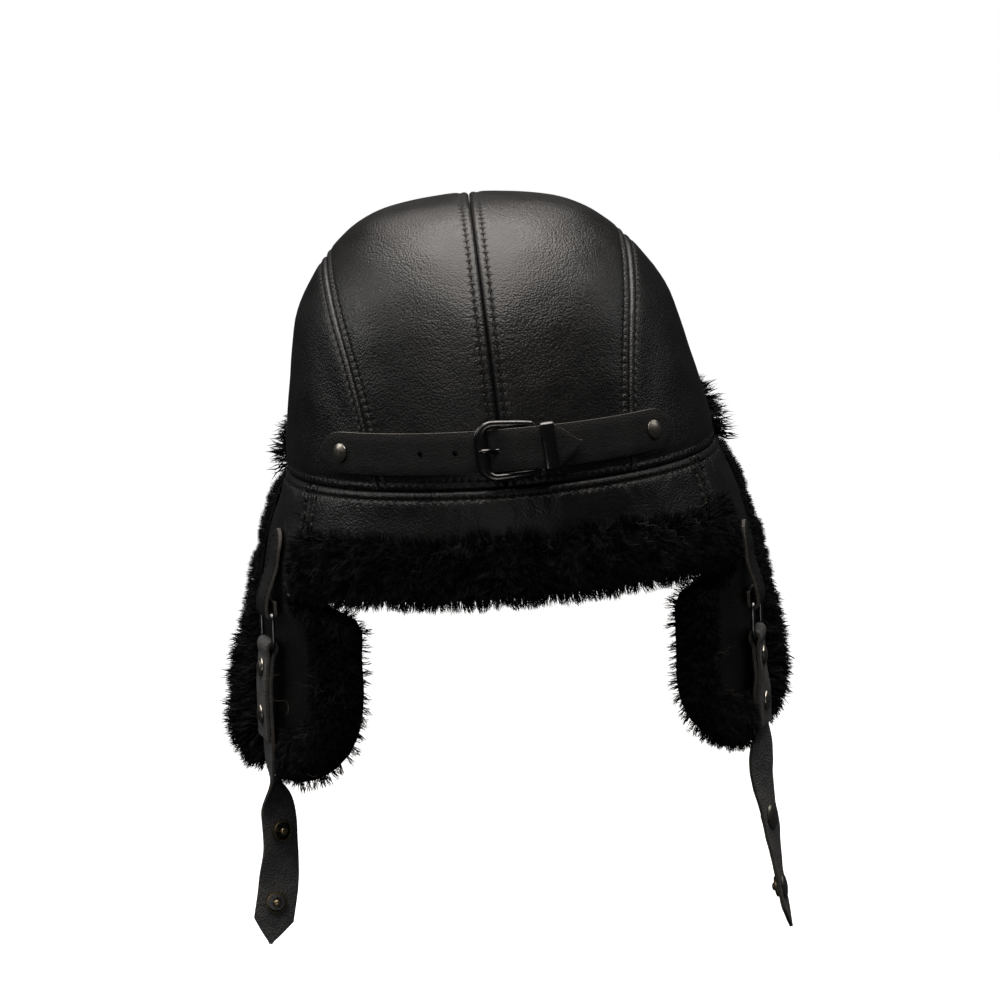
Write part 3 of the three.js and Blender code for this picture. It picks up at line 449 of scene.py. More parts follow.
def seamStitches(sheet, label):
    # bump height of a stitch row's dents and short gathers, and a painted shade mask for the dents, the
    # stitch line and the seam groove, from the piece's own map in millimetres
    calc, spread = sheet.calc, sheet.spread
    uv = sheet.add("ShaderNodeUVMap", uv_map=label)
    parts = sheet.add("ShaderNodeSeparateXYZ", {0: uv.outputs[0]})
    away, along = parts.outputs[0], parts.outputs[1]
    wave = calc("COSINE", calc("MULTIPLY", along, 2 * math.pi / hat["stitchPitch"]))
    near = calc("ABSOLUTE", calc("SUBTRACT", away, hat["stitchFromSeam"]))
    dot = calc("MULTIPLY", spread(near, 0.2, 0.95, 1, 0), spread(wave, 0.25, 0.85, 0, 1))
    tick = calc("MULTIPLY", spread(near, 0.6, 1.9, 1, 0), spread(wave, 0.8, 0.99, 0, 1))
    line = spread(near, 0.1, 0.45, 0.45, 0)
    dent = calc("MAXIMUM", calc("MAXIMUM", dot, line), calc("MULTIPLY", tick, 0.7))
    groove = spread(away, 0.15, 0.6, 1, 0)
    pull = calc("MULTIPLY", spread(away, 1.0, 3.6, 0.15, 0.5), spread(away, 4.6, 8.0, 1, 0))
    gathers = calc("MULTIPLY", wave, pull)
    height = calc("SUBTRACT", calc("MULTIPLY", gathers, -0.22), dent)
    return height, calc("MAXIMUM", dent, groove)


def makeSmoothLeather(name, base, rough, maps, grainDepth):
    sheet = Sheet(name)
    where = sheet.place()
    mottle = sheet.noise(where, 45, 5, 0.65)
    colour = sheet.colours(mottle, [c * 0.75 for c in base], [c * 1.3 for c in base])
    worn = sheet.noise(where, 70, 6, 0.7)
    roughness = sheet.spread(worn, 0.32, 0.7, rough - 0.01, rough + 0.05)
    stir = sheet.add("ShaderNodeTexNoise", {"Vector": where, "Scale": 260})
    warped = sheet.vector("ADD", where, sheet.scaled(stir.outputs["Color"], 0.0009))
    pebbles = sheet.calc("MULTIPLY", sheet.cells(warped, 1000), -1.0)
    creased = sheet.spread(sheet.noise(where, 170, 5, 0.62, 0.9), 0.3, 0.7, 0, 1)
    normal = sheet.bump(pebbles, 1.0, grainDepth)
    normal = sheet.bump(sheet.noise(where, 1500, 3, 0.65), 0.4, 0.00012, normal)
    normal = sheet.bump(creased, 0.08, 0.0004, normal)
    normal = sheet.bump(sheet.noise(where, 38, 2, 0.5), 0.3, 0.0012, normal)
    # painted shade: the colour is mixed towards near black by the seams' painted shade masks, in the stitch
    # dents, along the stitch rows and in the seam grooves
    dark = None
    for label in maps:
        height, shade = seamStitches(sheet, label)
        normal = sheet.bump(height, 0.8, 0.0006, normal)
        dark = shade if dark is None else sheet.calc("MAXIMUM", dark, shade)
    mix = sheet.add("ShaderNodeMix", data_type="RGBA")
    sheet.give(mix, {0: dark, 6: colour, 7: (0.002, 0.002, 0.002, 1)})
    return sheet.finish({
        "Base Color": mix.outputs[2],
        "Roughness": sheet.calc("ADD", roughness, sheet.calc("MULTIPLY", dark, 0.35), True),
        "Specular IOR Level": 0.55,
        "Normal": normal,
    })


def makeStrapLeather(name, base, rough, grainDepth=0.00024):
    sheet = Sheet(name)
    where = sheet.place()
    mottle = sheet.noise(where, 130, 4, 0.65)
    normal = sheet.bump(sheet.cells(where, 1150), 1.0, grainDepth)
    normal = sheet.bump(sheet.noise(where, 2400, 3, 0.7), 0.4, 0.00015, normal)
    normal = sheet.bump(sheet.noise(where, 90, 3, 0.55), 0.3, 0.0006, normal)
    return sheet.finish({
        "Base Color": sheet.colours(mottle, [c * 0.8 for c in base], [c * 1.25 for c in base]),
        "Roughness": sheet.spread(mottle, 0.3, 0.7, rough - 0.06, rough + 0.12),
        "Specular IOR Level": 0.22,
        "Normal": normal,
    })


def makeMetal(name, low, high, rough, tarnish):
    sheet = Sheet(name)
    where = sheet.place()
    patches = sheet.noise(where, 420, 4, 0.65)
    return sheet.finish({
        "Base Color": sheet.colours(patches, low, high),
        "Metallic": 1.0,
        "Roughness": sheet.spread(patches, 0.3, 0.7, rough + tarnish, rough),
        "Normal": sheet.bump(sheet.noise(where, 900, 3, 0.6), 0.12, 0.0001),
    })


def makeFibre(name, low, high, spots, fuzz, relief, rough, shine):
    # spots and fuzz are noises, relief the bump's strength and depth
    sheet = Sheet(name)
    where = sheet.place()
    return sheet.finish({
        "Base Color": sheet.colours(sheet.noise(where, *spots), low, high),
        "Roughness": rough,
        "Specular IOR Level": shine,
        "Normal": sheet.bump(sheet.noise(where, *fuzz), *relief),
    })


def makeWool(name, low, high):
    return makeFibre(name, low, high, (160, 3, 0.6), (700, 4, 0.7), (0.7, 0.0008), 0.8, 0.12)


smoothBase = (0.0042, 0.004, 0.004)
crownLeather = makeSmoothLeather("crownLeather", smoothBase, 0.33, ["seamPlace", "rimPlace"], 0.0002)
skirtLeather = makeSmoothLeather("skirtLeather", smoothBase, 0.34, ["rimPlace", "sidePlace"], 0.00021)
strapLeather = makeStrapLeather("strapLeather", (0.0095, 0.0095, 0.0097), 0.58)
# painted light: the chin straps are the same leather as the back straps, with a base colour about ten times
# lighter that stands in for the light the hat's shade keeps off them
chinLeather = makeStrapLeather("chinLeather", (0.1, 0.1, 0.101), 0.56, 0.0006)
# cut edges of the back straps: the raw edge's own paler tone, made lighter than rawEdge with a painted
# highlight, as lit from above
backEdge = makeStrapLeather("backEdge", (0.17, 0.16, 0.145), 0.8)
rawEdge = makeStrapLeather("rawEdge", (0.075, 0.07, 0.063), 0.8)
gunmetal = makeMetal("gunmetal", (0.065, 0.064, 0.064), (0.15, 0.147, 0.145), 0.15, 0.08)
# painted highlight: the rings' metal is a lighter copy of the buckle's gunmetal, standing in for the rings'
# bright highlights
ringGunmetalPaintedLight = makeMetal("wornGunmetal", (0.12, 0.12, 0.122), (0.3, 0.3, 0.305), 0.15, 0.1)
# painted highlight: the keeper's metal is a slightly lighter copy of the buckle's gunmetal, standing in for
# the keeper's bright streak
keeperGunmetalPaintedLight = makeMetal("wornKeeper", (0.07, 0.07, 0.071), (0.19, 0.187, 0.185), 0.17, 0.08)
darkWell = makeMetal("darkWell", (0.05, 0.05, 0.052), (0.15, 0.15, 0.152), 0.2, 0.1)
nickel = makeMetal("antiqueNickel", (0.24, 0.22, 0.19), (0.52, 0.49, 0.43), 0.24, 0.16)
brass = makeMetal("antiqueBrass", (0.26, 0.2, 0.12), (0.6, 0.48, 0.3), 0.26, 0.14)
woolBase = makeWool("woolBase", (0.002, 0.002, 0.0025), (0.006, 0.006, 0.007))
woolStrand = makeWool("woolStrand", (0.004, 0.004, 0.005), (0.012, 0.012, 0.0145))
strayStrand = makeWool("strayStrand", (0.04, 0.034, 0.028), (0.12, 0.1, 0.082))
thread = makeFibre(
    "waxedThread", (0.003, 0.003, 0.003), (0.008, 0.008, 0.008), (800, 2), (3000, 2), (0.4, 0.0001), 0.7, 0.2
)
print("materials ready")


# Crown


# height and width of what shapes the leather beside a seam
seam = {"groove": (0.95, 0.55), "ridge": (0.3, 1.1), "row": (0.5, 0.75), "rounding": (0.75, 10.0)}


def seamRelief(away):
    # a narrow groove at the seam, a rounded ridge beside it and a dip under the stitch row
    def bell(part, at):
        high, wide = seam[part]
        return high * np.exp(-(((away - at) / wide) ** 2))

    stitchAt = hat["stitchFromSeam"]
    high, wide = seam["rounding"]
    rounding = high * np.clip(1 - away / wide, 0, 1) ** 2
    return bell("ridge", stitchAt / 2) - bell("groove", 0) - bell("row", stitchAt) - rounding


def seamShares(span, both):
    near = [0, 0.35, 0.8, 1.4, 2.1, 2.9, 3.6, 4.2, 4.8, 5.6, 6.8, 8.5, 11, 14]
    first = [x / span for x in near]
    if both:
        return np.array(first + list(np.linspace(0.235, 0.765, 14)) + [1 - x for x in first[::-1]])
    return np.array(first + list(np.linspace(0.27, 0.86, 14)) + [0.9, 0.93, 0.955, 0.975, 0.99, 1])


def crownPanel(word, kind, line, shares, alongs, seams):
    u, v = np.meshgrid(shares, alongs)
    span = np.linalg.norm(crownPoint(*line(0 * v, v)) - crownPoint(*line(1 + 0 * v, v)), axis=-1)
    trim = np.minimum(hat["gap"] / 2 / span, 0.2)
    share = trim + (1 - 2 * trim) * u
    p, q = line(share, v)
    away = np.full_like(share, 99.0)
    if seams[0]:
        away = np.minimum(away, share * span)
    if seams[1]:
        away = np.minimum(away, (1 - share) * span)
    normal = crownNormal(p, q)
    point = crownPoint(p, q)
    fromRim = np.maximum((1 - np.hypot(p, q)) * hat["crownArc"], 0)
    middle = smooth(away, 3, 22) * smooth(fromRim, 3, 25)
    swell = ripple(point, 70, 3 if kind == "centre" else 8) * 0.55 + ripple(point, 26, 21) * 0.16
    relief = np.minimum(seamRelief(away), seamRelief(fromRim) * 0.9) + (swell - 0.2) * middle
    gathers = np.sin(np.arctan2(q, p) * 46 + ripple(point, 40, 5) * 2) * 0.16
    relief = relief + gathers * np.exp(-fromRim / 9) * smooth(fromRim, 0.5, 4)
    outer = point + normal * relief[..., None]
    inner = point + normal * (np.minimum(relief, 0) * 0.5 - hat["leather"])[..., None]
    outer[..., 2] = np.maximum(outer[..., 2], 0.15)
    inner[..., 2] = np.maximum(inner[..., 2], 0.15)
    for skin in (outer, inner):
        skin[..., 0] = skin[..., 0] * sides[word] + leanAt(skin[..., 2])
    along = np.concatenate([
        np.zeros((1, len(shares))),
        np.cumsum(np.linalg.norm(np.diff(outer, axis=0), axis=-1), axis=0),
    ])
    maps = {
        "seamPlace": np.stack([away, along[:, :1] + 0 * away], axis=-1),
        "rimPlace": np.stack([fromRim, np.arctan2(q, p) * hat["halfLength"]], axis=-1),
    }
    piece = shell(f"crown{kind.title()}{word.title()}", outer, inner, [crownLeather], maps)
    return finishPiece(piece, "smooth_leather", f"crown_{kind}_{word}")


centreShares = seamShares(70, True)
sideShares = seamShares(60, False)
rimCrowd = np.array([0, 0.002, 0.005, 0.009, 0.014, 0.02])
centreAlongs = np.concatenate([rimCrowd, np.linspace(0.026, 0.974, 170), 1 - rimCrowd[::-1]])
sideAlongs = np.concatenate([rimCrowd + 0.003, np.linspace(0.03, 0.97, 150), 0.997 - rimCrowd[::-1]])
for word in sides:
    crownPanel(word, "centre", centreLine, centreShares, centreAlongs, (True, True))
    crownPanel(word, "side", sideLine, sideShares, sideAlongs, (True, False))
print("crown panels made")


# Skirt: neck flap and ear flaps


def rimShare(drop):
    near = np.array([0.3, 0.7, 1.2, 1.8, 2.5, 3.2, 3.7, 4.2, 4.8, 5.6, 7, 9, 12])
    return np.concatenate([near, np.linspace(15, drop, int((drop - 15) / 3) + 2)])


def skirtRelief(point, angle, depth, sideAway):
    relief = np.minimum(seamRelief(depth), seamRelief(sideAway)) * 0.9
    gathers = np.sin(angle * 62 + ripple(point, 30, 35) * 2.4) * 0.3
    gathers *= smooth(depth, 2, 6) * (1 - smooth(depth, 8, 17))
    calm = smooth(depth, 3, 16)
    return relief + gathers + (ripple(point, 46, 31) * 0.5 + ripple(point, 20, 33) * 0.25 - 0.3) * calm


def skirtMaps(depth, angle, sideAway):
    return {
        "rimPlace": np.stack([depth, angle * hat["halfLength"]], axis=-1),
        "sidePlace": np.stack([sideAway, depth], axis=-1),
    }


def neckFlap():
    cut = hat["gap"] / 2 / hat["halfLength"]
    start = math.radians(skirt["neckCorner"]) + cut
    near = np.array([0, 0.8, 1.6, 2.6, 3.6, 4.5, 5.4, 7, 9]) / hat["halfLength"]
    angles = np.concatenate([
        start + near, np.linspace(start + 0.11, math.pi - start - 0.11, 90), math.pi - start - near[::-1],
    ])
    angle, depth = np.meshgrid(angles, rimShare(skirt["neckDrop"]))
    sideAway = np.minimum(angle - start, math.pi - start - angle) * hat["halfLength"]
    point = wallPoint(angle, -depth, 0)
    relief = skirtRelief(point, angle, depth, sideAway)
    outer = wallPoint(angle, -depth, relief)
    inner = wallPoint(angle, -depth, np.minimum(relief, 0) * 0.4 - hat["leather"])
    piece = shell("neckFlap", outer, inner, [skirtLeather], skirtMaps(depth, angle, sideAway))
    finishPiece(piece, "smooth_leather", "neck_flap")


def earGrid(inset, topDepth, columns, rows, lowRows):
    straightDepth = ear["drop"] - ear["round"]
    lower = straightDepth + (ear["round"] - inset) * np.sin(np.linspace(0, 0.97, lowRows)[1:] * math.pi / 2)
    depths = np.concatenate([topDepth, rows[rows > topDepth[-1] + 0.5], lower])
    u, depth = np.meshgrid(columns, depths)
    cut = hat["gap"] / 2 / hat["halfLength"]
    front = earEdge(-1, depth, inset) + cut
    rear = earEdge(1, depth, inset) - cut
    return front + (rear - front) * u, depth, u, rear


def earFlap(word):
    near = np.array([0, 0.008, 0.016, 0.026, 0.036, 0.045, 0.055, 0.07, 0.09])
    columns = np.concatenate([np.linspace(0, 0.88, 40), 1 - near[::-1]])
    top = np.array([0.3, 0.9, 1.6, 2.5, 3.5, 4.5, 5.5, 7, 9, 12])
    rows = np.linspace(15, ear["drop"] - ear["round"], 26)
    angle, depth, _, rear = earGrid(ear["leatherInset"], top, columns, rows, 14)
    sideAway = np.where(depth < skirt["neckFurBottom"], (rear - angle) * hat["halfLength"], 99)
    point = earPoint(word, angle, depth, 0)
    relief = skirtRelief(point, angle, depth, sideAway)
    outer = earPoint(word, angle, depth, relief)
    inner = earPoint(word, angle, depth, np.minimum(relief, 0) * 0.4 - hat["leather"])
    maps = skirtMaps(depth, angle, sideAway)
    piece = shell(f"earFlap{word.title()}", outer, inner, [skirtLeather], maps)
    finishPiece(piece, "smooth_leather", f"ear_flap_{word}")


neckFlap()
for word in sides:
    earFlap(word)


def browHeight(angle):
    start = -math.radians(180 - brow["endAngle"])
    end = -math.radians(brow["endAngle"])
    toEnd = np.minimum(angle - start, end - angle) * hat["halfLength"]
    t = np.clip(toEnd / brow["corner"], 0, 1)
    return brow["high"] - brow["corner"] * (1 - np.sqrt(np.maximum(1 - (1 - t) ** 2, 0)))


def browGrid(columns, rows):
    start = -math.radians(180 - brow["endAngle"])
    end = -math.radians(brow["endAngle"])
    angle, v = np.meshgrid(np.linspace(start, end, columns), np.linspace(0, 1, rows))
    return angle, brow["low"] + (browHeight(angle) - brow["low"]) * v, v


def browFlap():
    angle, height, _ = browGrid(90, 24)
    seat = brow["clearance"]
    relief = ripple(wallPoint(angle, height, 0), 40, 44) * 0.1
    outer = wallPoint(angle, height, seat + hat["leather"] + relief)
    inner = wallPoint(angle, height, seat)
    maps = skirtMaps(99 + 0 * height, angle, 99 + 0 * height)
    piece = shell("browFlap", outer, inner, [skirtLeather], maps)
    finishPiece(piece, "smooth_leather", "brow_flap")


browFlap()
print("flaps made")


# Wool


wool = {
    "neck": {"tufts": 5400, "length": 7.0, "tousle": 0.8, "seed": 4, "thick": 5.2},
    "earBorder": {"tufts": 5100, "length": 9.0, "tousle": 0.6, "seed": 11, "thick": 5.0},
    "earLining": {"tufts": 1200, "length": 7.5, "tousle": 0.6, "seed": 23, "thick": ear["lining"] - 3.5},
    "brow": {"tufts": 3800, "length": 13.0, "tousle": 0.65, "seed": 31, "thick": 5.2},
    "neckLining": {"tufts": 600, "length": 7.0, "tousle": 0.6, "seed": 41,
                   "thick": skirt["neckLining"] - 2.5},
    "crownLining": {"tufts": 700, "length": 6.5, "tousle": 0.7, "seed": 43, "thick": hat["lining"] - 1.5},
}
# size, seed and height of a pad's lumps
lumps = {
    "neck": (17, 62, 0.7),
    "earBorder": (17, 71, 0.8),
    "earLining": (15, 81, 0.8),
    "brow": (18, 101, 0.8),
    "neckLining": (15, 91, 0.7),
    "crownLining": (16, 111, 0.7),
}
woolClump = 9.0
padSeat = hat["skinClearance"] + 0.3


def tuftShape(name, seed):
    # one lock of wool, 1 long: crimped blades that start apart and gather towards a tip
    rng = np.random.default_rng(seed)
    points, faces = [], []
    blades = 6
    bend = rng.normal(0, 0.12, 2)
    for _ in range(blades):
        root = rng.normal(0, 0.085, 2)
        tip = rng.normal(0, 0.13, 2) + bend + root * 0.6
        turn = rng.uniform(0, math.pi)
        broad = np.array([math.cos(turn), math.sin(turn)]) * 0.028
        curl = rng.uniform(0, 2 * math.pi)
        length = rng.uniform(0.75, 1.02)
        start = len(points)
        for share, wide in ((0, 1), (0.36, 0.95), (0.72, 0.7)):
            swirl = np.array([math.cos(curl + share * 5), math.sin(curl + share * 5)]) * 0.1 * share
            middle = root + (tip - root) * share**1.6 + swirl
            for side in (-1, 1):
                points.append((*(middle + side * broad * wide), share * length))
        points.append((*tip, length))
        for k in (0, 2):
            faces.append((start + k, start + k + 1, start + k + 3, start + k + 2))
        faces.append((start + 4, start + 5, start + 6))
    mesh = bpy.data.meshes.new(name)
    mesh.from_pydata([tuple(map(float, p)) for p in points], [], faces)
    return addObject(name, mesh)


class Tree(Nodes):
    # a Geometry Nodes tree with the given inputs

    def __init__(self, name, inputs):
        super().__init__(bpy.data.node_groups.new(name, "GeometryNodeTree"))
        sockets = [("Geometry", "INPUT", "NodeSocketGeometry")]
        sockets += [(label, "INPUT", kind) for label, kind in inputs.items()]
        for label, way, kind in sockets + [("Geometry", "OUTPUT", "NodeSocketGeometry")]:
            self.tree.interface.new_socket(label, in_out=way, socket_type=kind)
        self.start = self.add("NodeGroupInput")
        self.end = self.add("NodeGroupOutput")

    def named(self, label, kind):
        made = self.add("GeometryNodeInputNamedAttribute", {"Name": label}, data_type=kind)
        return made.outputs[0]

    def instances(self, source):
        made = self.add("GeometryNodeObjectInfo", {"Object": source, "As Instance": True})
        return made.outputs["Geometry"]

    def painted(self, instances, material):
        real = self.add("GeometryNodeRealizeInstances", {"Geometry": instances.outputs[0]})
        made = self.add("GeometryNodeSetMaterial", {"Geometry": real.outputs[0], "Material": material})
        return made.outputs[0]

    def set(self, modifier, values):
        for item in self.tree.interface.items_tree:
            if item.item_type == "SOCKET" and item.in_out == "INPUT" and item.name in values:
                modifier[item.identifier] = values[item.name]


tufts = [tuftShape(f"tuft{i}", 50 + i) for i in range(4)]


def buildWoolTree():
    tree = Tree("woolTufts", {
        "Tufts per square metre": "NodeSocketFloat",
        "Length": "NodeSocketFloat",
        "Tousle": "NodeSocketFloat",
        "Clump Size": "NodeSocketFloat",
        "Seed": "NodeSocketInt",
        "Strand": "NodeSocketMaterial",
    })
    given = tree.start.outputs
    density = tree.calc("MULTIPLY", given["Tufts per square metre"], tree.named("grow", "FLOAT"))
    spread = tree.add("GeometryNodeDistributePointsOnFaces", {
        "Mesh": given["Geometry"], "Density": density, "Seed": given["Seed"],
    })
    place = tree.add("GeometryNodeInputPosition")
    scale = tree.calc("DIVIDE", 1.0, given["Clump Size"])
    noise = tree.add("ShaderNodeTexNoise", {"Vector": place.outputs[0], "Scale": scale, "Detail": 1.5})
    centred = tree.vector("SUBTRACT", noise.outputs["Color"], (0.5, 0.5, 0.5))
    tousled = tree.scaled(tree.scaled(centred, given["Tousle"]), 4.0)
    stray = tree.add("FunctionNodeRandomValue", {0: (-0.2, -0.2, -0.2), 1: (0.2, 0.2, 0.2)},
                     data_type="FLOAT_VECTOR")
    way = tree.vector("ADD", spread.outputs["Normal"], tree.named("lean", "FLOAT_VECTOR"))
    way = tree.vector("ADD", tree.vector("ADD", way, tousled), stray.outputs[0])
    facing = tree.add("FunctionNodeAlignRotationToVector", {"Vector": way}, axis="Z")
    spin = tree.add("FunctionNodeRandomValue", {2: 0.0, 3: 2 * math.pi}, data_type="FLOAT")
    turn = tree.add("FunctionNodeAxisAngleToRotation", {"Axis": (0, 0, 1), "Angle": spin.outputs[1]})
    turned = tree.add("FunctionNodeRotateRotation", {
        "Rotation": facing.outputs[0], "Rotate By": turn.outputs[0],
    }, rotation_space="LOCAL")
    size = tree.add("FunctionNodeRandomValue", {2: 0.8, 3: 1.1}, data_type="FLOAT")
    scaled = tree.calc("MULTIPLY", size.outputs[1], tree.named("tall", "FLOAT"))
    length = tree.calc("MULTIPLY", scaled, given["Length"])
    chosen = tree.add("GeometryNodeJoinGeometry")
    for tuft in tufts:
        tree.wire(tree.instances(tuft), chosen.inputs[0])
    placed = tree.add("GeometryNodeInstanceOnPoints", {
        "Points": spread.outputs["Points"], "Instance": chosen.outputs[0], "Pick Instance": True,
        "Rotation": turned.outputs[0], "Scale": length,
    })
    joined = tree.add("GeometryNodeJoinGeometry")
    tree.wire(tree.painted(placed, given["Strand"]), joined.inputs[0])
    tree.wire(given["Geometry"], joined.inputs[0])
    tree.wire(joined.outputs[0], tree.end.inputs[0])
    return tree


woolTree = buildWoolTree()


def applyTree(piece, maker, values):
    modifier = piece.modifiers.new("maker", "NODES")
    modifier.node_group = maker.tree
    maker.set(modifier, values)
    bpy.context.view_layer.update()
    graph = bpy.context.evaluated_depsgraph_get()
    finished = bpy.data.meshes.new_from_object(piece.evaluated_get(graph))
    piece.modifiers.remove(modifier)
    old = piece.data
    piece.data = finished
    finished.name = piece.name
    bpy.data.meshes.remove(old)


def growWool(piece, recipe):
    mesh = piece.data
    area = 0.0
    grow = mesh.attributes["grow"].data
    for polygon in mesh.polygons:
        area += polygon.area * sum(grow[i].value for i in polygon.vertices) / len(polygon.vertices)
    applyTree(piece, woolTree, {
        "Tufts per square metre": recipe["tufts"] / area,
        "Length": recipe["length"] * 0.001,
        "Tousle": recipe["tousle"],
        "Clump Size": woolClump * 0.001,
        "Seed": recipe["seed"],
        "Strand": woolStrand,
    })


def markWool(piece, tall, grow, lean):
    for label, values in (("tall", tall), ("grow", grow), ("lean", lean)):
        kind, key = ("FLOAT_VECTOR", "vector") if label == "lean" else ("FLOAT", "value")
        marks = piece.data.attributes.new(label, kind, "POINT").data
        marks.foreach_set(key, values.astype(np.float32).ravel())


def woolPad(name, node, outer, inner, lean, grow, recipe, tall=1.0):
    # a lumpy pad; grow is the share of tufts on its outer and its inner skin
    shape = outer.shape[:2]
    piece = shell(name, outer, inner, [woolBase])
    shares = np.concatenate([np.broadcast_to(share, shape) for share in grow])
    markWool(piece, np.concatenate([np.broadcast_to(tall, shape)] * 2), shares, np.concatenate([lean] * 2))
    growWool(piece, recipe)
    finishPiece(piece, "wool", node)


def bulge(t, power=0.5):
    return np.power(np.clip(4 * t * (1 - t), 0, 1), power)


def lumpy(kind, points):
    # a pad's thickness at the given points
    size, seed, high = lumps[kind]
    return wool[kind]["thick"] + ripple(points, size, seed) * high


def neckBand():
    start = math.radians(skirt["neckCorner"] - hang["left"]["woolPast"])
    end = math.pi - math.radians(skirt["neckCorner"] - hang["right"]["woolPast"])
    angle, v = np.meshgrid(np.linspace(start, end, 110), np.linspace(0, 1, 14))
    ragged = ripple(np.stack([angle * 100, 0 * angle, 0 * angle], axis=-1), 34, 61) * 1.6
    top, bottom = skirt["neckFurTop"] + 1.5, skirt["neckFurBottom"] - 2.5
    depth = top + ragged * (1 - v) + (bottom - top) * v
    ends = smooth(np.minimum(angle - start, end - angle) * hat["meanRadius"], 0, 9)
    thick = lumpy("neck", wallPoint(angle, -depth, 0)) * (0.25 + 0.75 * bulge(v)) * (0.35 + 0.65 * ends)
    outer = wallPoint(angle, -depth, padSeat + thick)
    inner = wallPoint(angle, -depth, padSeat)
    lean = np.zeros_like(outer)
    lean[..., 2] = -0.35 - 0.35 * v
    woolPad("neckBand", "neck_fur", outer, inner, lean, (1, 0.15), wool["neck"])


def earBorderPlace(t, w):
    # t runs down the rear edge, round the tip and up the front, w inwards from the edge
    leg = 0.34
    straightDepth = ear["drop"] - ear["round"]
    inset = w * (ear["border"] + (ear["borderFront"] - ear["border"]) * smooth(t, 0.5, 1 - leg))
    insetAngle = inset / hat["halfLength"]
    rearLeg = t < leg
    share = np.clip(np.where(rearLeg, t, 1 - t) / leg, 0, 1)
    top = np.where(rearLeg, skirt["neckFurBottom"], ear["borderTop"])
    depth = top + (straightDepth - top) * share
    rearEdge = earEdge(1, depth, 0)
    room = w * (rearEdge - math.radians(skirt["neckCorner"] - ear["borderLead"]))
    angle = np.where(rearLeg, rearEdge - np.minimum(insetAngle, room), earEdge(-1, depth, 0) + insetAngle)
    turn = np.clip((t - leg) / (1 - 2 * leg), 0, 1) * math.pi
    tip = math.radians(ear["tipAngle"])
    half = np.where(
        np.cos(turn) > 0,
        earEdge(1, straightDepth, 0) - insetAngle - tip,
        tip - earEdge(-1, straightDepth, 0) - insetAngle,
    )
    atTip = (t >= leg) & (t <= 1 - leg)
    angle = np.where(atTip, tip + half * np.cos(turn), angle)
    depth = np.where(atTip, straightDepth + (ear["round"] - inset) * np.sin(turn), depth)
    return angle, depth


def earBorder(word):
    t, w = np.meshgrid(np.linspace(0, 1, 130), np.linspace(0, 1, 12))
    atTip = smooth(t, 0.3, 0.42)
    atFront = smooth(t, 0.55, 0.7)
    rear, tip, front = hang[word]["woolInset"]
    inset = rear + (tip - rear) * atTip + (front - tip) * atFront
    low = inset / ear["border"]
    high = 0.8 + 0.2 * atFront
    angle, depth = earBorderPlace(t, low + (high - low) * w)
    ends = smooth(np.minimum(t, 1 - t), 0, 0.025)
    thick = lumpy("earBorder", earPoint(word, angle, depth, 0)) * (0.25 + 0.75 * bulge(w))
    thick = thick * (0.35 + 0.65 * ends) * (1 - 0.5 * smooth(w, 0.4, 1))
    # the border lies flat and bare where the chin strap hangs over it
    strapAngle = math.radians(hang[word]["tabAngle"])
    under = (1 - smooth(np.abs(angle - strapAngle) * hat["halfLength"], 11, 18)) * smooth(depth, 86, 96)
    thick = thick * (1 - 0.85 * under)
    outer = earPoint(word, angle, depth, padSeat + thick)
    inner = earPoint(word, angle, depth, padSeat)
    away = unit(outer[:1] - outer[-1:])
    lean = away * (0.85 * (1 - w) + 0.3 * w)[..., None]
    lean[..., 2] -= 0.25
    tall = 0.6 + (0.6 + hang[word]["frontWool"] * smooth(depth, 50, 110) - 0.6) * smooth(t, 0.48, 0.6)
    tall = tall * (1 - 0.4 * smooth(w, 0.4, 1))
    grow = np.where(under > 0.4, 0.0, 1.0)
    recipe = dict(wool["earBorder"], seed=wool["earBorder"]["seed"] + (word == "left"))
    grow = (grow, 0.2 * grow)
    woolPad(f"earBorder{word.title()}", f"ear_fur_{word}", outer, inner, lean, grow, recipe, tall)


def earLining(word):
    top = np.array([0.3, 3.0, 8.0])
    rows = np.linspace(14, ear["drop"] - ear["round"], 16)
    columns = np.concatenate([[0, 0.015, 0.05], np.linspace(0.1, 0.9, 20), [0.95, 0.985, 1]])
    angle, depth, u, _ = earGrid(hang[word]["woolInset"][0] + 1, top, columns, rows, 14)
    out = -(hat["leather"] + hat["skinClearance"])
    toEdge = np.minimum(np.minimum(u, 1 - u) * 100, ear["drop"] - depth)
    outer = earPoint(word, angle, depth, out)
    thick = lumpy("earLining", earPoint(word, angle, depth, 0)) * (0.45 + 0.55 * smooth(toEdge, 0, 12))
    inner = earPoint(word, angle, depth, out - thick)
    edgeWay = unit(outer - outer.mean(axis=(0, 1), keepdims=True))
    nearEdge = 1 - smooth(toEdge, 0, 10)
    lean = edgeWay * (0.9 * nearEdge)[..., None]
    lean[..., 2] -= 0.2
    strapAngle = math.radians(hang[word]["tabAngle"])
    under = (np.abs(angle - strapAngle) * hat["halfLength"] < 14) & (depth > 95)
    grow = (np.where(under, 0, nearEdge * 0.8), 1)
    woolPad(f"earLining{word.title()}", f"ear_lining_{word}", outer, inner, lean, grow, wool["earLining"])


def neckLining():
    cut = math.radians(skirt["neckCorner"]) + 0.002
    angle, v = np.meshgrid(np.linspace(cut, math.pi - cut, 60), np.linspace(0, 1, 9))
    depth = 0.3 + (skirt["neckLiningDrop"] - 0.3) * v
    out = -(hat["leather"] + hat["skinClearance"])
    thick = lumpy("neckLining", wallPoint(angle, -depth, 0)) * (0.5 + 0.5 * smooth(1 - v, 0, 0.3))
    outer = wallPoint(angle, -depth, out)
    inner = wallPoint(angle, -depth, out - thick)
    lean = np.zeros_like(outer)
    lean[..., 2] = -0.5
    woolPad("neckLining", "neck_lining", outer, inner, lean, (0, 1), wool["neckLining"])


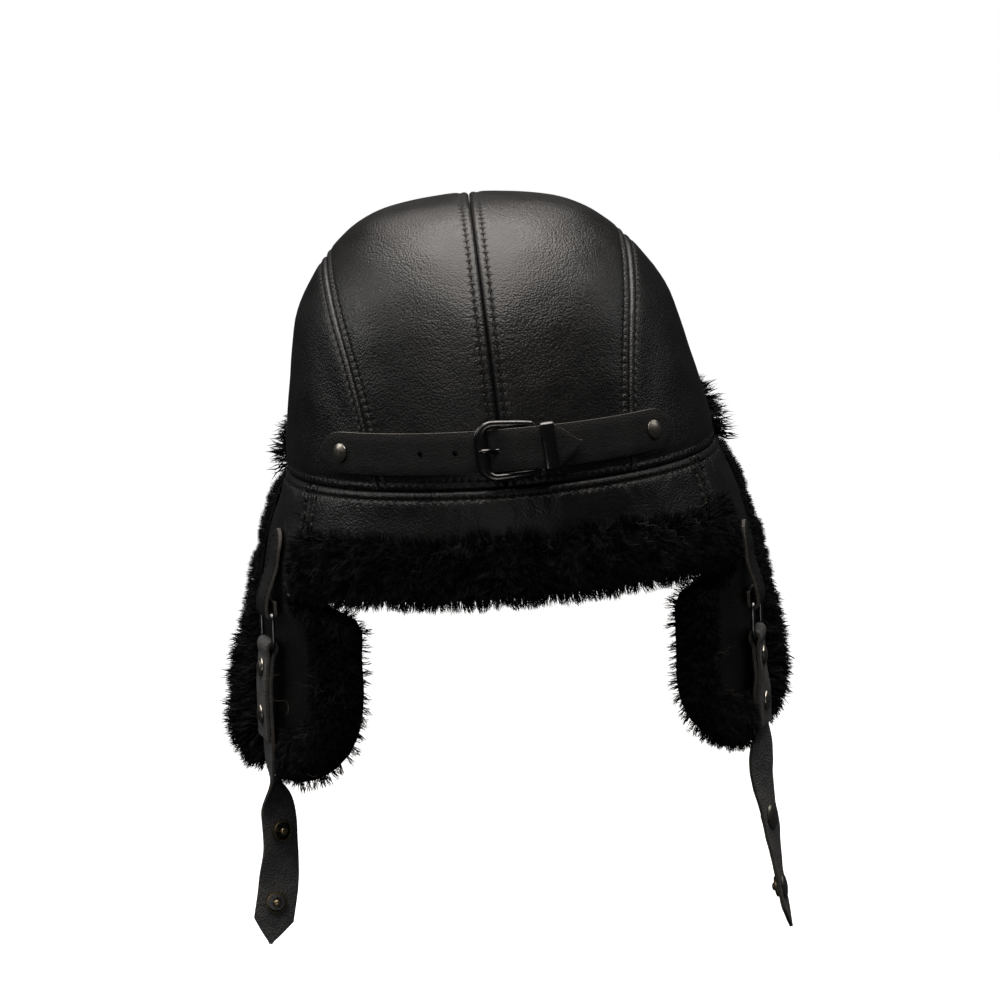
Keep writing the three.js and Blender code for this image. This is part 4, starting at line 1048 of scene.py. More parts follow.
def browWool():
    angle, height, v = browGrid(110, 22)
    start, end = angle[0, 0], angle[0, -1]
    face = brow["clearance"] + hat["leather"] + hat["skinClearance"] + 0.3
    toSide = smooth(np.minimum(angle - start, end - angle) * hat["meanRadius"], 0, 10)
    thick = lumpy("brow", wallPoint(angle, height, 0)) * (0.25 + 0.75 * bulge(v, 0.4)) * (0.6 + 0.4 * toSide)
    outer = wallPoint(angle, height, face + thick)
    inner = wallPoint(angle, height, face)
    lean = np.zeros_like(outer)
    lean[..., 2] = 0.5 * (v - 0.5)
    sideWay = np.stack([np.sign(np.cos(angle)), 0 * angle, 0 * angle], axis=-1)
    lean += sideWay * (0.8 * (1 - toSide))[..., None]
    tall = np.where(np.cos(angle) > 0, 0.8, 1.05) * (1 - smooth(height, 12, 24))
    tall = 0.35 + tall + 0.4 * (1 - smooth(height, -2, 8))
    woolPad("browWool", "brow_fur", outer, inner, lean, (1, 0.15), wool["brow"], tall)


def crownLining():
    out = -(hat["leather"] + hat["seamDip"] + hat["liningClearance"])
    turns = np.linspace(0, 2 * math.pi, 73)[:-1]
    arcs, turns = np.meshgrid(np.linspace(0.004, 0.995, 34), turns, indexing="ij")
    p, q = arcs * np.cos(turns), arcs * np.sin(turns)
    normal = crownNormal(p, q)
    base = crownPoint(p, q)
    skins = np.stack([base + normal * out, base + normal * (out - lumpy("crownLining", base))[..., None]])
    skins[..., 2] = np.maximum(skins[..., 2], 0.3)
    rows, columns = arcs.shape
    size = rows * columns
    quads = np.array(tubeFaces(rows, columns, True))
    cap = np.arange(columns)
    low, lowNext = size - columns + cap, size - columns + np.roll(cap, -1)
    faces = quads.tolist() + [cap[::-1].tolist()] + (quads[:, ::-1] + size).tolist()
    faces += [(cap + size).tolist()] + np.stack([low, size + low, size + lowNext, lowNext], axis=-1).tolist()
    piece = makePiece("crownLining", skins.reshape(-1, 3), faces, [woolBase])
    turnOutward(piece)
    grow = np.concatenate([np.zeros(size), np.ones(size)])
    markWool(piece, np.ones(2 * size), grow, np.zeros((2 * size, 3)))
    growWool(piece, wool["crownLining"])
    finishPiece(piece, "wool", "crown_lining")


def strayFibres():
    # a few pale crimped fibres caught on the wool
    rng = np.random.default_rng(71)
    # side, angles, depths, count
    places = [
        ("neck", (96, 150), (19, 44), 17), ("neck", (34, 47), (21, 44), 6), ("neck", (60, 90), (30, 46), 5),
        ("left", (26, 47), (70, 138), 14), ("right", (30, 46), (60, 120), 4),
    ]
    parts = []
    for where, angles, depths, count in places:
        for _ in range(count):
            steps, stride = 34, rng.uniform(0.35, 0.9)
            heading = rng.uniform(0, 2 * math.pi)
            waves = rng.uniform(0.35, 0.8), rng.uniform(0, 6.3), rng.uniform(0.3, 0.75)
            i = np.arange(steps)
            way = heading + waves[2] * np.sin(i * waves[0] + waves[1]) * 2 + rng.normal(0, 0.04) * i
            angle = math.radians(rng.uniform(*angles)) + np.cumsum(np.cos(way)) * stride / hat["halfLength"]
            depth = rng.uniform(*depths) + np.cumsum(np.sin(way)) * stride * 0.6
            out = 8.5 + 2.0 * np.sin(i * rng.uniform(0.1, 0.3) + rng.uniform(0, 6.3))
            if where == "neck":
                path = wallPoint(angle, -depth, out)
            else:
                path = earPoint(where, angle, depth, out - 1)
            thick = 0.1 * np.sqrt(np.clip(4 * (i + 0.6) / steps * (1 - i / steps), 0.08, 1))
            tangent = unit(np.gradient(path, axis=0))
            first = unit(np.cross(tangent, np.array([0.3, 0.2, 0.93])))
            second = np.cross(tangent, first)
            turn = 2 * math.pi * np.arange(4) / 4
            ring = first[:, None] * np.cos(turn)[:, None] + second[:, None] * np.sin(turn)[:, None]
            points = path[:, None] + ring * thick[:, None, None]
            start = sum(len(p) for p, _ in parts)
            faces = [[v + start for v in face] for face in rodFaces(steps, 4)]
            parts.append((points.reshape(-1, 3), faces))
    faces = [face for _, part in parts for face in part]
    piece = makePiece("strayFibres", np.concatenate([p for p, _ in parts]), faces, [strayStrand])
    turnOutward(piece)
    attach(piece, "root")


strayFibres()
neckBand()
for word in sides:
    earBorder(word)
    earLining(word)
neckLining()
browWool()
crownLining()
for tuft in tufts:
    bpy.data.objects.remove(tuft)
print("wool grown")

# Stitches

stitch = {"pitch": hat["stitchPitch"], "thick": 0.42, "share": 0.72}


def stitchShape():
    # a short thread segment, 1 long along X, sunk at both ends
    rings = [(-0.5, -0.3, 0.5), (-0.3, 0.0, 0.95), (0.0, 0.08, 1.0), (0.3, 0.0, 0.95), (0.5, -0.3, 0.5)]
    radius = stitch["thick"] / (stitch["pitch"] * stitch["share"])
    points = []
    for x, z, size in rings:
        for k in range(6):
            turn = k * math.pi / 3
            rise = radius * size * math.sin(turn)
            points.append((x, radius * size * math.cos(turn), z * radius * 2 + rise))
    mesh = bpy.data.meshes.new("stitchShape")
    mesh.from_pydata(points, [], rodFaces(len(rings), 6))
    return addObject("stitchShape", mesh)


oneStitch = stitchShape()


def buildStitchTree():
    tree = Tree("stitchRows", {
        "Pitch": "NodeSocketFloat", "Stitch Length": "NodeSocketFloat", "Thread": "NodeSocketMaterial",
    })
    given = tree.start.outputs
    curve = tree.add("GeometryNodeMeshToCurve", {"Mesh": given["Geometry"]})
    rows = tree.add("GeometryNodeResampleCurve", {"Curve": curve.outputs[0], "Length": given["Pitch"]},
                    mode="LENGTH")
    rise = tree.named("rise", "FLOAT_VECTOR")
    tangent = tree.add("GeometryNodeInputTangent")
    first = tree.add("FunctionNodeAlignRotationToVector", {"Vector": rise}, axis="Z")
    second = tree.add("FunctionNodeAlignRotationToVector", {
        "Rotation": first.outputs[0], "Vector": tangent.outputs[0],
    }, axis="X", pivot_axis="Z")
    placed = tree.add("GeometryNodeInstanceOnPoints", {
        "Points": rows.outputs[0], "Instance": tree.instances(oneStitch),
        "Rotation": second.outputs[0], "Scale": given["Stitch Length"],
    })
    tree.wire(tree.painted(placed, given["Thread"]), tree.end.inputs[0])
    return tree


stitchTree = buildStitchTree()


def sewRows(name, rows, pitch=hat["stitchPitch"]):
    # rows is a list of (points, normals) along the rows of stitches
    points, edges, rises = [], [], []
    for line, normals in rows:
        first = sum(len(p) for p in points)
        points.append(line)
        rises.append(normals)
        edges += [(first + i, first + i + 1) for i in range(len(line) - 1)]
    mesh = bpy.data.meshes.new(name)
    mesh.from_pydata(metres(np.concatenate(points)).tolist(), edges, [])
    mesh.attributes.new("rise", "FLOAT_VECTOR", "POINT").data.foreach_set(
        "vector", np.concatenate(rises).astype(np.float32).ravel()
    )
    piece = addObject(name, mesh)
    applyTree(piece, stitchTree, {
        "Pitch": pitch * 0.001,
        "Stitch Length": pitch * stitch["share"] * 0.001,
        "Thread": thread,
    })
    for polygon in piece.data.polygons:
        polygon.use_smooth = True
    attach(piece, "root")


def crownRow(line, share, away, side):
    # a row that keeps its distance from the seam at the given share of the panel
    v = np.linspace(0.004, 0.996, 240) if line is centreLine else np.linspace(0.035, 0.965, 220)
    span = np.linalg.norm(crownPoint(*line(0 * v, v)) - crownPoint(*line(1 + 0 * v, v)), axis=-1)
    s = away / span if share == 0 else 1 - away / span
    p, q = line(s, v)
    normal = crownNormal(p, q)
    point = crownPoint(p, q) + normal * (seamRelief(np.full_like(v, away)) - 0.1)[..., None]
    keep = point[:, 2] > 3.5
    point[:, 0] = point[:, 0] * side + leanAt(point[:, 2])
    normal[:, 0] *= side
    return point[keep], normal[keep]


stitchAway = hat["stitchFromSeam"]
crownRows = []
for side in (1, -1):
    crownRows.append(crownRow(centreLine, 0, stitchAway, side))
    crownRows.append(crownRow(centreLine, 1, stitchAway, side))
    crownRows.append(crownRow(sideLine, 0, stitchAway, side))
sewRows("crownStitches", crownRows)


def rimRow(height):
    angles = np.linspace(math.radians(-24), math.radians(204), 400)
    relief = seamRelief(np.full_like(angles, abs(height))) * 0.9 - 0.1
    return wallPoint(angles, height, relief), wallNormal(angles)


def cornerRow(word, offset):
    depth = np.linspace(2, 34, 30)
    corner = math.radians(skirt["neckCorner"]) + offset / hat["halfLength"]
    relief = seamRelief(np.full_like(depth, abs(offset))) * 0.9 - 0.1
    if offset < 0:
        point = earPoint(word, corner + 0 * depth, depth, relief)
    else:
        point = wallPoint(corner + 0 * depth, -depth, relief)
        point[:, 0] *= sides[word]
    normal = wallNormal(corner + 0 * depth)
    normal[:, 0] *= sides[word]
    return point, normal


skirtRows = [rimRow(stitchAway), rimRow(-stitchAway)]
for word in sides:
    skirtRows += [cornerRow(word, stitchAway), cornerRow(word, -stitchAway)]
sewRows("rimStitches", skirtRows)
print("seams sewn")

# Straps and metal

strap = {
    "width": 19.5,
    "wall": 1.6,
    "height": 17.5,
    "leftEnd": 84.0,
    "rightEnd": -81.0,
    "tip": -35.0,
    "point": 11.0,
    "hole": 2.6,
    "holes": (36.6, 20.8),
    "endSeat": 0.4,
    "liftStart": 34.0,
    "liftEnd": 60.0,
    "climb": 13.0,
    "settle": 7.0,
    "foldReturn": -29.0,
    "rivetInset": 10.0,
    "rivetCap": 8.8,
    "rivetRise": 1.8,
}
buckle = {
    "left": 12.0,
    "right": -16.2,
    "height": 28.2,
    "wire": 2.6,
    "arm": 3.4,
    "front": 6.6,
    "corner": 6.0,
    "waist": 9.0,
    "prong": 2.0,
    "prongEye": 1.2,
    "keeperPlace": -20.0,
    "keeperWidth": 6.4,
    "keeperWall": 1.2,
}
chin = {
    "width": 20.0,
    "wall": 1.8,
    "tabWidth": 20.0,
    "tabPitch": 3.4,
    "tabLength": 40.0,
    "tabSeat": 0.6,
    "ringCorner": 2.5,
    "ringHeight": 17.0,
    "ringWire": 2.2,
    "length": 151.0,
    "fold": 46.0,
    "ease": 6.0,
    "point": 12.0,
    "foldSnaps": (0.24, 0.74),
    "loneSnaps": (0.622, 0.861),
    "cap": 9.4,
    "rise": 2.0,
    "foot": 6.8,
    "back": 1.2,
    "studCap": 12.6,
    "studFoot": 10.6,
    "studBack": 2.0,
}
# a chin strap below its ring: along, sideways shift, turn in degrees
chinCourse = {
    "left": np.array([
        (0, 0, 0), (0.065, 0.013, 0), (0.12, 0.022, 0), (0.18, 0.026, 0), (0.28, 0.03, 0),
        (0.36, 0.033, -2), (0.44, 0.034, -10), (0.53, 0.022, -60), (0.58, 0.018, -69),
        (0.67, 0.02, -69), (0.72, 0.025, -76), (0.79, 0.034, -94), (0.84, 0.043, -97),
        (0.92, 0.062, -97), (1, 0.08, -97),
    ]),
    "right": np.array([
        (0, 0, 0), (0.065, 0.002, 0), (0.125, 0.003, 0), (0.2, 0.003, 7), (0.31, 0.002, 7),
        (0.38, -0.004, 22), (0.44, -0.008, 25), (0.51, -0.006, 19), (0.59, 0.006, 11),
        (0.655, 0.014, 11), (0.75, 0.024, 3), (0.84, 0.032, -2), (0.92, 0.044, -3), (1, 0.06, -3),
    ]),
}
strapSeat = buckle["keeperWall"] + 2 * hat["gap"]
strapLayer = strap["wall"] + hat["gap"]
strapMiddle = strapSeat + strap["wall"] / 2
frameOut = strapSeat + strapLayer + buckle["wire"] / 2
heelPlace = buckle["right"] + buckle["wire"] / 2
frontInside = buckle["left"] - buckle["front"]
frontPlace = buckle["left"] - buckle["front"] / 2
foldBend = frameOut - strapMiddle
upward = np.array([0.0, 0.0, 1.0])
endSteps = np.array([0, 0.15, 0.5, 1.1, 2, 3.2, 5, 7, 9.7])
corners = ((1, 1, 0), (-1, 1, 90), (-1, -1, 180), (1, -1, 270))
sharpEdge = math.radians(42)


def backPoint(x, out, aside=0.0):
    # place, normal and rising slope of the crown's back at the strap's height
    x, out, aside = np.broadcast_arrays(*(np.asarray(v, dtype=float) for v in (x, out, aside)))
    height, half = strap["height"], strap["width"] / 2
    reach = curveThrough(riseShare, reachShare, height / hat["height"])
    angle = np.arccos(np.clip(x / (hat["halfWidth"] * reach), -1, 1))
    slope = unit(wallPoint(angle, height + half, 0) - wallPoint(angle, height - half, 0))
    flat = wallNormal(angle)
    normal = unit(flat - slope * np.sum(flat * slope, axis=-1, keepdims=True))
    point = wallPoint(angle, height, 0) + normal * out[..., None] + slope * aside[..., None]
    return point, normal, slope


def foldAt(x):
    rest = strapMiddle + strapLayer
    settled = smooth(heelPlace - strap["wall"] / 2 - x, 0, strap["settle"])
    return frameOut + foldBend - (frameOut + foldBend - rest) * settled


def strapOut(x):
    lift = 1 - smooth(np.abs(x), strap["liftStart"], strap["liftEnd"])
    return strap["endSeat"] + strap["wall"] / 2 + (strapSeat - strap["endSeat"]) * lift


def tongueOut(x):
    climb = smooth(frontInside - x, 0, strap["climb"])
    return strapOut(x) + (foldAt(x) + strapLayer - strapOut(x)) * climb


def roundedWidth(fromEnd, width):
    t = np.clip(2 * fromEnd / width, 0, 1)
    return width * np.maximum(np.sqrt(1 - (1 - t) ** 2), 0.12)


def assemble(name, parts, materials):
    # one mesh from (points, faces, paints) parts; paints picks each face's material
    points, faces, paints = [], [], []
    for part, quads, colours in parts:
        first = sum(len(p) for p in points)
        points.append(part)
        faces += [[i + first for i in face] for face in quads]
        paints += list(colours)
    piece = makePiece(name, np.concatenate(points), faces, materials)
    turnOutward(piece)
    piece.data.polygons.foreach_set("material_index", paints)
    piece.data.set_sharp_from_angle(angle=sharpEdge)
    return piece


def ribbonPart(place, broad, thin, width, wall, seed):
    # a strap with cut edges, their corners slightly rounded; paint 1 is the cut edge
    corner = 0.4
    section = []
    for s, t, turn in corners:
        for step in (0, 45, 90):
            a = math.radians(turn + step)
            section.append((s, t, math.cos(a), math.sin(a)))
        if s * t > 0:
            section += [(s * share, t, 0, t) for share in (0.5, 0, -0.5)]
    flatU, flatT, cornerU, cornerT = np.array(section).T
    half = np.asarray(width, dtype=float)[:, None] / 2
    bend = np.minimum(corner, half * 0.5)
    across = flatU * (half - bend) + cornerU * bend
    high = flatT * (wall / 2 - corner) + cornerT * corner
    points = place[:, None] + broad[:, None] * across[..., None] + thin[:, None] * high[None, :, None]
    sag = ripple(points, 11, seed, 6) * 0.1
    points = points + thin[:, None] * sag[..., None]
    rows, columns = points.shape[:2]
    edge = [abs(flatU[k]) == 1 and abs(cornerU[k]) > 0.5 for k in range(columns)]
    paints = [int(edge[k] and edge[(k + 1) % columns]) for k in range(columns)] * (rows - 1)
    return points.reshape(-1, 3), rodFaces(rows, columns, True), paints + [1, 1]


def loopPart(path, way, halfOut, halfAcross, turns=16, power=2.0):
    # a closed loop of metal; way faces out of the loop, power squares its section
    path = np.asarray(path, dtype=float)
    tangent = unit(np.roll(path, -1, axis=0) - np.roll(path, 1, axis=0))
    way = np.broadcast_to(way, path.shape)
    out = unit(way - tangent * np.sum(way * tangent, axis=-1, keepdims=True))
    across = np.cross(tangent, out)
    turn = 2 * math.pi * (np.arange(turns) + 0.5) / turns
    c = np.sign(np.cos(turn)) * np.abs(np.cos(turn)) ** (2 / power)
    s = np.sign(np.sin(turn)) * np.abs(np.sin(turn)) ** (2 / power)
    tall = np.broadcast_to(np.asarray(halfOut, dtype=float), len(path))[:, None] * c
    wide = np.broadcast_to(np.asarray(halfAcross, dtype=float), len(path))[:, None] * s
    points = path[:, None] + out[:, None] * tall[..., None] + across[:, None] * wide[..., None]
    faces = tubeFaces(len(path), turns, True, True)
    return points.reshape(-1, 3), faces, [0] * len(faces)


def turnedPart(profile, at, axis, turns=32, paints=None):
    # a turned piece; the profile starts and ends on its axis
    profile = np.asarray(profile, dtype=float)
    axis = unit(np.asarray(axis, dtype=float))
    first = unit(np.cross(axis, upward if abs(axis[2]) < 0.9 else np.array([1.0, 0, 0])))
    second = np.cross(axis, first)
    rings = profile[1:-1]
    turn = 2 * math.pi * np.arange(turns) / turns
    circle = first * np.cos(turn)[:, None] + second * np.sin(turn)[:, None]
    points = at + rings[:, 0, None, None] * circle + rings[:, 1, None, None] * axis
    points = np.concatenate([points.reshape(-1, 3), [at + axis * profile[0, 1], at + axis * profile[-1, 1]]])
    low, high = len(points) - 2, len(points) - 1
    last = (len(rings) - 1) * turns
    paints = paints or [0] * (len(profile) - 1)
    faces, colours = [], []
    for k in range(turns):
        n = (k + 1) % turns
        faces.append((low, n, k))
        colours.append(paints[0])
        for j in range(len(rings) - 1):
            faces.append((j * turns + k, j * turns + n, (j + 1) * turns + n, (j + 1) * turns + k))
            colours.append(paints[j + 1])
        faces.append((high, last + k, last + n))
        colours.append(paints[-1])
    return points, faces, colours


def rounded(rows, times=2):
    # cuts the corners of a closed table of places
    for _ in range(times):
        after = np.roll(rows, -1, axis=0)
        cut = np.stack([rows * 0.75 + after * 0.25, rows * 0.25 + after * 0.75], axis=1)
        rows = cut.reshape(-1, rows.shape[1])
    return rows


def drilled(piece, holes, wide):
    # cuts round holes, each given by its place and axis, and shows cut leather inside them
    for at, axis in holes:
        work = bmesh.new()
        turn = Vector(axis).to_track_quat("Z", "Y").to_matrix().to_4x4()
        where = Matrix.Translation(metres(at)) @ turn
        bmesh.ops.create_cone(work, cap_ends=True, segments=20, radius1=wide * 0.0005,
                              radius2=wide * 0.0005, depth=0.012, matrix=where)
        mesh = bpy.data.meshes.new("punch")
        work.to_mesh(mesh)
        work.free()
        punch = addObject("punch", mesh)
        modifier = piece.modifiers.new("hole", "BOOLEAN")
        modifier.operation = "DIFFERENCE"
        modifier.solver = "EXACT"
        modifier.object = punch
        bpy.context.view_layer.update()
        graph = bpy.context.evaluated_depsgraph_get()
        cut = bpy.data.meshes.new_from_object(piece.evaluated_get(graph))
        piece.modifiers.remove(modifier)
        piece.data = cut
        bpy.data.objects.remove(punch)
    piece.data.set_sharp_from_angle(angle=sharpEdge)


def strapPiece(name, parts, leather=strapLeather, edge=rawEdge):
    return assemble(name, parts, [leather, edge])


def longStrap():
    ends = strap["leftEnd"] - endSteps
    x = np.concatenate([ends, np.arange(strap["leftEnd"] - 11, strap["tip"] + 0.4, -1.1), [strap["tip"]]])
    pointed = strap["width"] * np.maximum((x - strap["tip"]) / strap["point"], 0.08) ** 0.9
    width = roundedWidth(strap["leftEnd"] - x, strap["width"])
    width = np.minimum(width, np.minimum(pointed, strap["width"]))
    place, thin, broad = backPoint(x, tongueOut(x))
    part = ribbonPart(place, broad, thin, width, strap["wall"], 301)
    piece = strapPiece("backStrapLong", [part], edge=backEdge)
    drilled(piece, [backPoint(hole, strapOut(hole))[:2] for hole in strap["holes"]], strap["hole"])
    finishPiece(piece, "strap_leather", "back_strap_long")


def shortStrap():
    ends = strap["rightEnd"] + endSteps
    x = np.concatenate([ends, np.arange(strap["rightEnd"] + 11, heelPlace, 1.2), [heelPlace]])
    place, thin, broad = backPoint(x, strapOut(x))
    width = roundedWidth(x - strap["rightEnd"], strap["width"])
    turn = np.radians(np.arange(15, 180, 15))
    bentX, bentOut = heelPlace + foldBend * np.sin(turn), frameOut - foldBend * np.cos(turn)
    bentPlace, normal, bentBroad = backPoint(bentX, bentOut)
    sideways = unit(np.cross(normal, bentBroad))
    bentThin = normal * np.cos(turn)[:, None] + sideways * np.sin(turn)[:, None]
    back = np.linspace(heelPlace, strap["foldReturn"], 14)
    backPlace, backThin, backBroad = backPoint(back, foldAt(back))
    piece = strapPiece("backStrapShort", [ribbonPart(
        np.concatenate([place, bentPlace, backPlace]), np.concatenate([broad, bentBroad, backBroad]),
        np.concatenate([thin, bentThin, -backThin]),
        np.concatenate([width, np.full(len(turn) + len(back), strap["width"])]), strap["wall"], 302,
    )], edge=backEdge)
    finishPiece(piece, "strap_leather", "back_strap_short")


def buckleFrame():
    heelHalf = (strap["width"] + buckle["wire"]) / 2 + hat["gap"]
    frontHalf = (buckle["height"] - buckle["arm"]) / 2
    side = [
        (heelPlace, heelHalf * 0.5, buckle["wire"]),
        (heelPlace, heelHalf * 0.94, buckle["wire"]),
        (heelPlace + buckle["wire"] / 3, heelHalf, buckle["wire"]),
        (heelPlace + buckle["waist"], (heelHalf + frontHalf) / 2, buckle["arm"]),
    ]
    for turn in range(90, -1, -15):
        s, c = math.sin(math.radians(turn)), math.cos(math.radians(turn))
        side.append((
            frontPlace - buckle["corner"] * (1 - c), frontHalf - buckle["corner"] * (1 - s),
            buckle["front"] + (buckle["arm"] - buckle["front"]) * s,
        ))
    mirrored = [(x, -z, broad) for x, z, broad in side[::-1]]
    outline = rounded(np.array(side + [(frontPlace, 0, buckle["front"])] + mirrored))
    path, _, _ = backPoint(outline[:, 0], frameOut, outline[:, 1])
    way = backPoint((buckle["left"] + buckle["right"]) / 2, 0)[1]
    part = loopPart(path, way, buckle["wire"] / 2, outline[:, 2] / 2, 20, 2.3)
    piece = assemble("buckleFrame", [part], [gunmetal])
    finishPiece(piece, "gunmetal", "buckle_frame")


def bucklePin():
    rest = frameOut + (buckle["wire"] + buckle["prong"]) / 2 + hat["gap"]
    eye = buckle["wire"] / 2 + hat["gap"]
    start = heelPlace + eye + buckle["prongEye"] * 0.6
    xs = np.array([start, frontInside - 8, frontInside - 3, frontInside, frontInside + 2, frontPlace + 1])
    outs = np.array([frameOut, frameOut - 0.5, frameOut - 0.6, rest - 0.6, rest, rest])
    x = np.linspace(xs[0], xs[-1], 24)
    place, normal, slope = backPoint(x, curveThrough(xs, outs, x))
    tip = np.sqrt(np.clip((xs[-1] - x) / 1.2 + 0.02, 0, 1)) * buckle["prong"] / 2
    turns = 12
    turn = 2 * math.pi * np.arange(turns) / turns
    points = (
        place[:, None] + normal[:, None] * (tip[:, None] * np.cos(turn))[..., None]
        + slope[:, None] * (tip[:, None] * np.sin(turn) * 1.25)[..., None]
    )
    faces = rodFaces(len(x), turns)
    centre, _, along = backPoint(heelPlace, frameOut)
    sideways = unit(np.cross(along, backPoint(heelPlace, 0)[1]))
    around = np.linspace(0, 2 * math.pi, 33)[:-1, None]
    front = np.cross(along, sideways)
    ringPath = centre + (sideways * np.cos(around) + front * np.sin(around)) * (eye + buckle["prongEye"] / 2)
    ring = loopPart(ringPath, along, buckle["prong"] / 2, buckle["prongEye"] / 2, 10, 3.0)
    piece = assemble("bucklePin", [(points.reshape(-1, 3), faces, [0] * len(faces)), ring], [gunmetal])
    finishPiece(piece, "gunmetal", "buckle_prong")


def buckleKeeper():
    near = buckle["keeperPlace"] + buckle["keeperWidth"] / 2
    low = strapSeat - hat["gap"] - buckle["keeperWall"] / 2
    high = foldAt(near) + strapLayer + (strap["wall"] + buckle["keeperWall"]) / 2 + hat["gap"]
    half = (strap["width"] + buckle["keeperWall"]) / 2 + hat["gap"]
    box = []
    bend = 1.1
    for s, t, first in corners:
        middle = (s * (half - bend), (high + low) / 2 + t * ((high - low) / 2 - bend))
        for step in range(0, 91, 18):
            a = math.radians(first + step)
            box.append((middle[0] + bend * math.cos(a), middle[1] + bend * math.sin(a)))
    aside, out = np.array(box).T
    path, normal, slope = backPoint(buckle["keeperPlace"], out, aside)
    way = slope * (aside / half)[:, None] + normal * ((out - (high + low) / 2) / (high - low) * 2)[:, None]
    part = loopPart(path, unit(way), buckle["keeperWall"] / 2, buckle["keeperWidth"] / 2, 24, 2.6)
    piece = assemble("buckleKeeper", [part], [keeperGunmetalPaintedLight])
    finishPiece(piece, "gunmetal", "buckle_keeper")


shankRadius = 1.6
# outward and upward shares along a snap's domed cap, by its radius, and a stud's, by its width
domeShape = (
    (1, 0.25), (0.97, 0.48), (0.88, 0.56), (0.8, 0.6), (0.72, 0.74), (0.52, 0.9), (0.28, 0.98), (0, 1),
)
studShape = ((0.5, 0.25), (0.46, 0.5), (0.36, 0.75), (0.2, 0.94), (0, 1))


def domedCap(wide, rise, seat, foot):
    # a foot, a shank and a domed cap with a rolled rim
    footWide, footThick, footAt = foot
    r = wide / 2
    return [
        (0, footAt - footThick), (footWide / 2 - 0.3, footAt - footThick),
        (footWide / 2, footAt - footThick * 0.6), (footWide / 2, footAt), (shankRadius, footAt),
        (shankRadius, seat), (r - 0.25, seat),
    ] + [(r * across, seat + up * rise) for across, up in domeShape]


def socketFoot(wide, thick, foot, cap):
    # a stud's socket side: a brass rim round a dark well with a small post
    capWide, capRise, seat = cap
    r = wide / 2
    back = foot - thick
    profile = [
        (0, back - 1.7), (1.1, back - 1.6), (1.8, back - 1.2), (2.1, back - 0.5), (1.9, back + 0.8),
        (1.7, foot - 0.45), (r * 0.79, foot - 0.4), (r * 0.83, back + 0.3), (r * 0.87, back),
        (r * 0.95, back + 0.12), (r, back + 0.65), (r, foot),
        (shankRadius, foot), (shankRadius, seat), (capWide / 2 - 0.3, seat),
    ] + [(capWide * across, seat + capRise * up) for across, up in studShape]
    paints = [0, 0, 0, 0, 0, 1, 1] + [0] * (len(profile) - 14) + [2] * 6
    return profile, paints


def rivets():
    left, right = strap["leftEnd"] - strap["rivetInset"], strap["rightEnd"] + strap["rivetInset"]
    for word, x in (("left", left), ("right", right)):
        seat = strapOut(x) + strap["wall"] / 2 + hat["gap"] * 0.4
        at, axis, _ = backPoint(x, 0)
        foot = (3.0, 0.2, float(seat) - strap["wall"])
        part = turnedPart(domedCap(strap["rivetCap"], strap["rivetRise"], float(seat), foot), at, axis)
        piece = assemble(f"rivet{word.title()}", [part], [nickel])
        finishPiece(piece, "nickel", f"rivet_{word}")


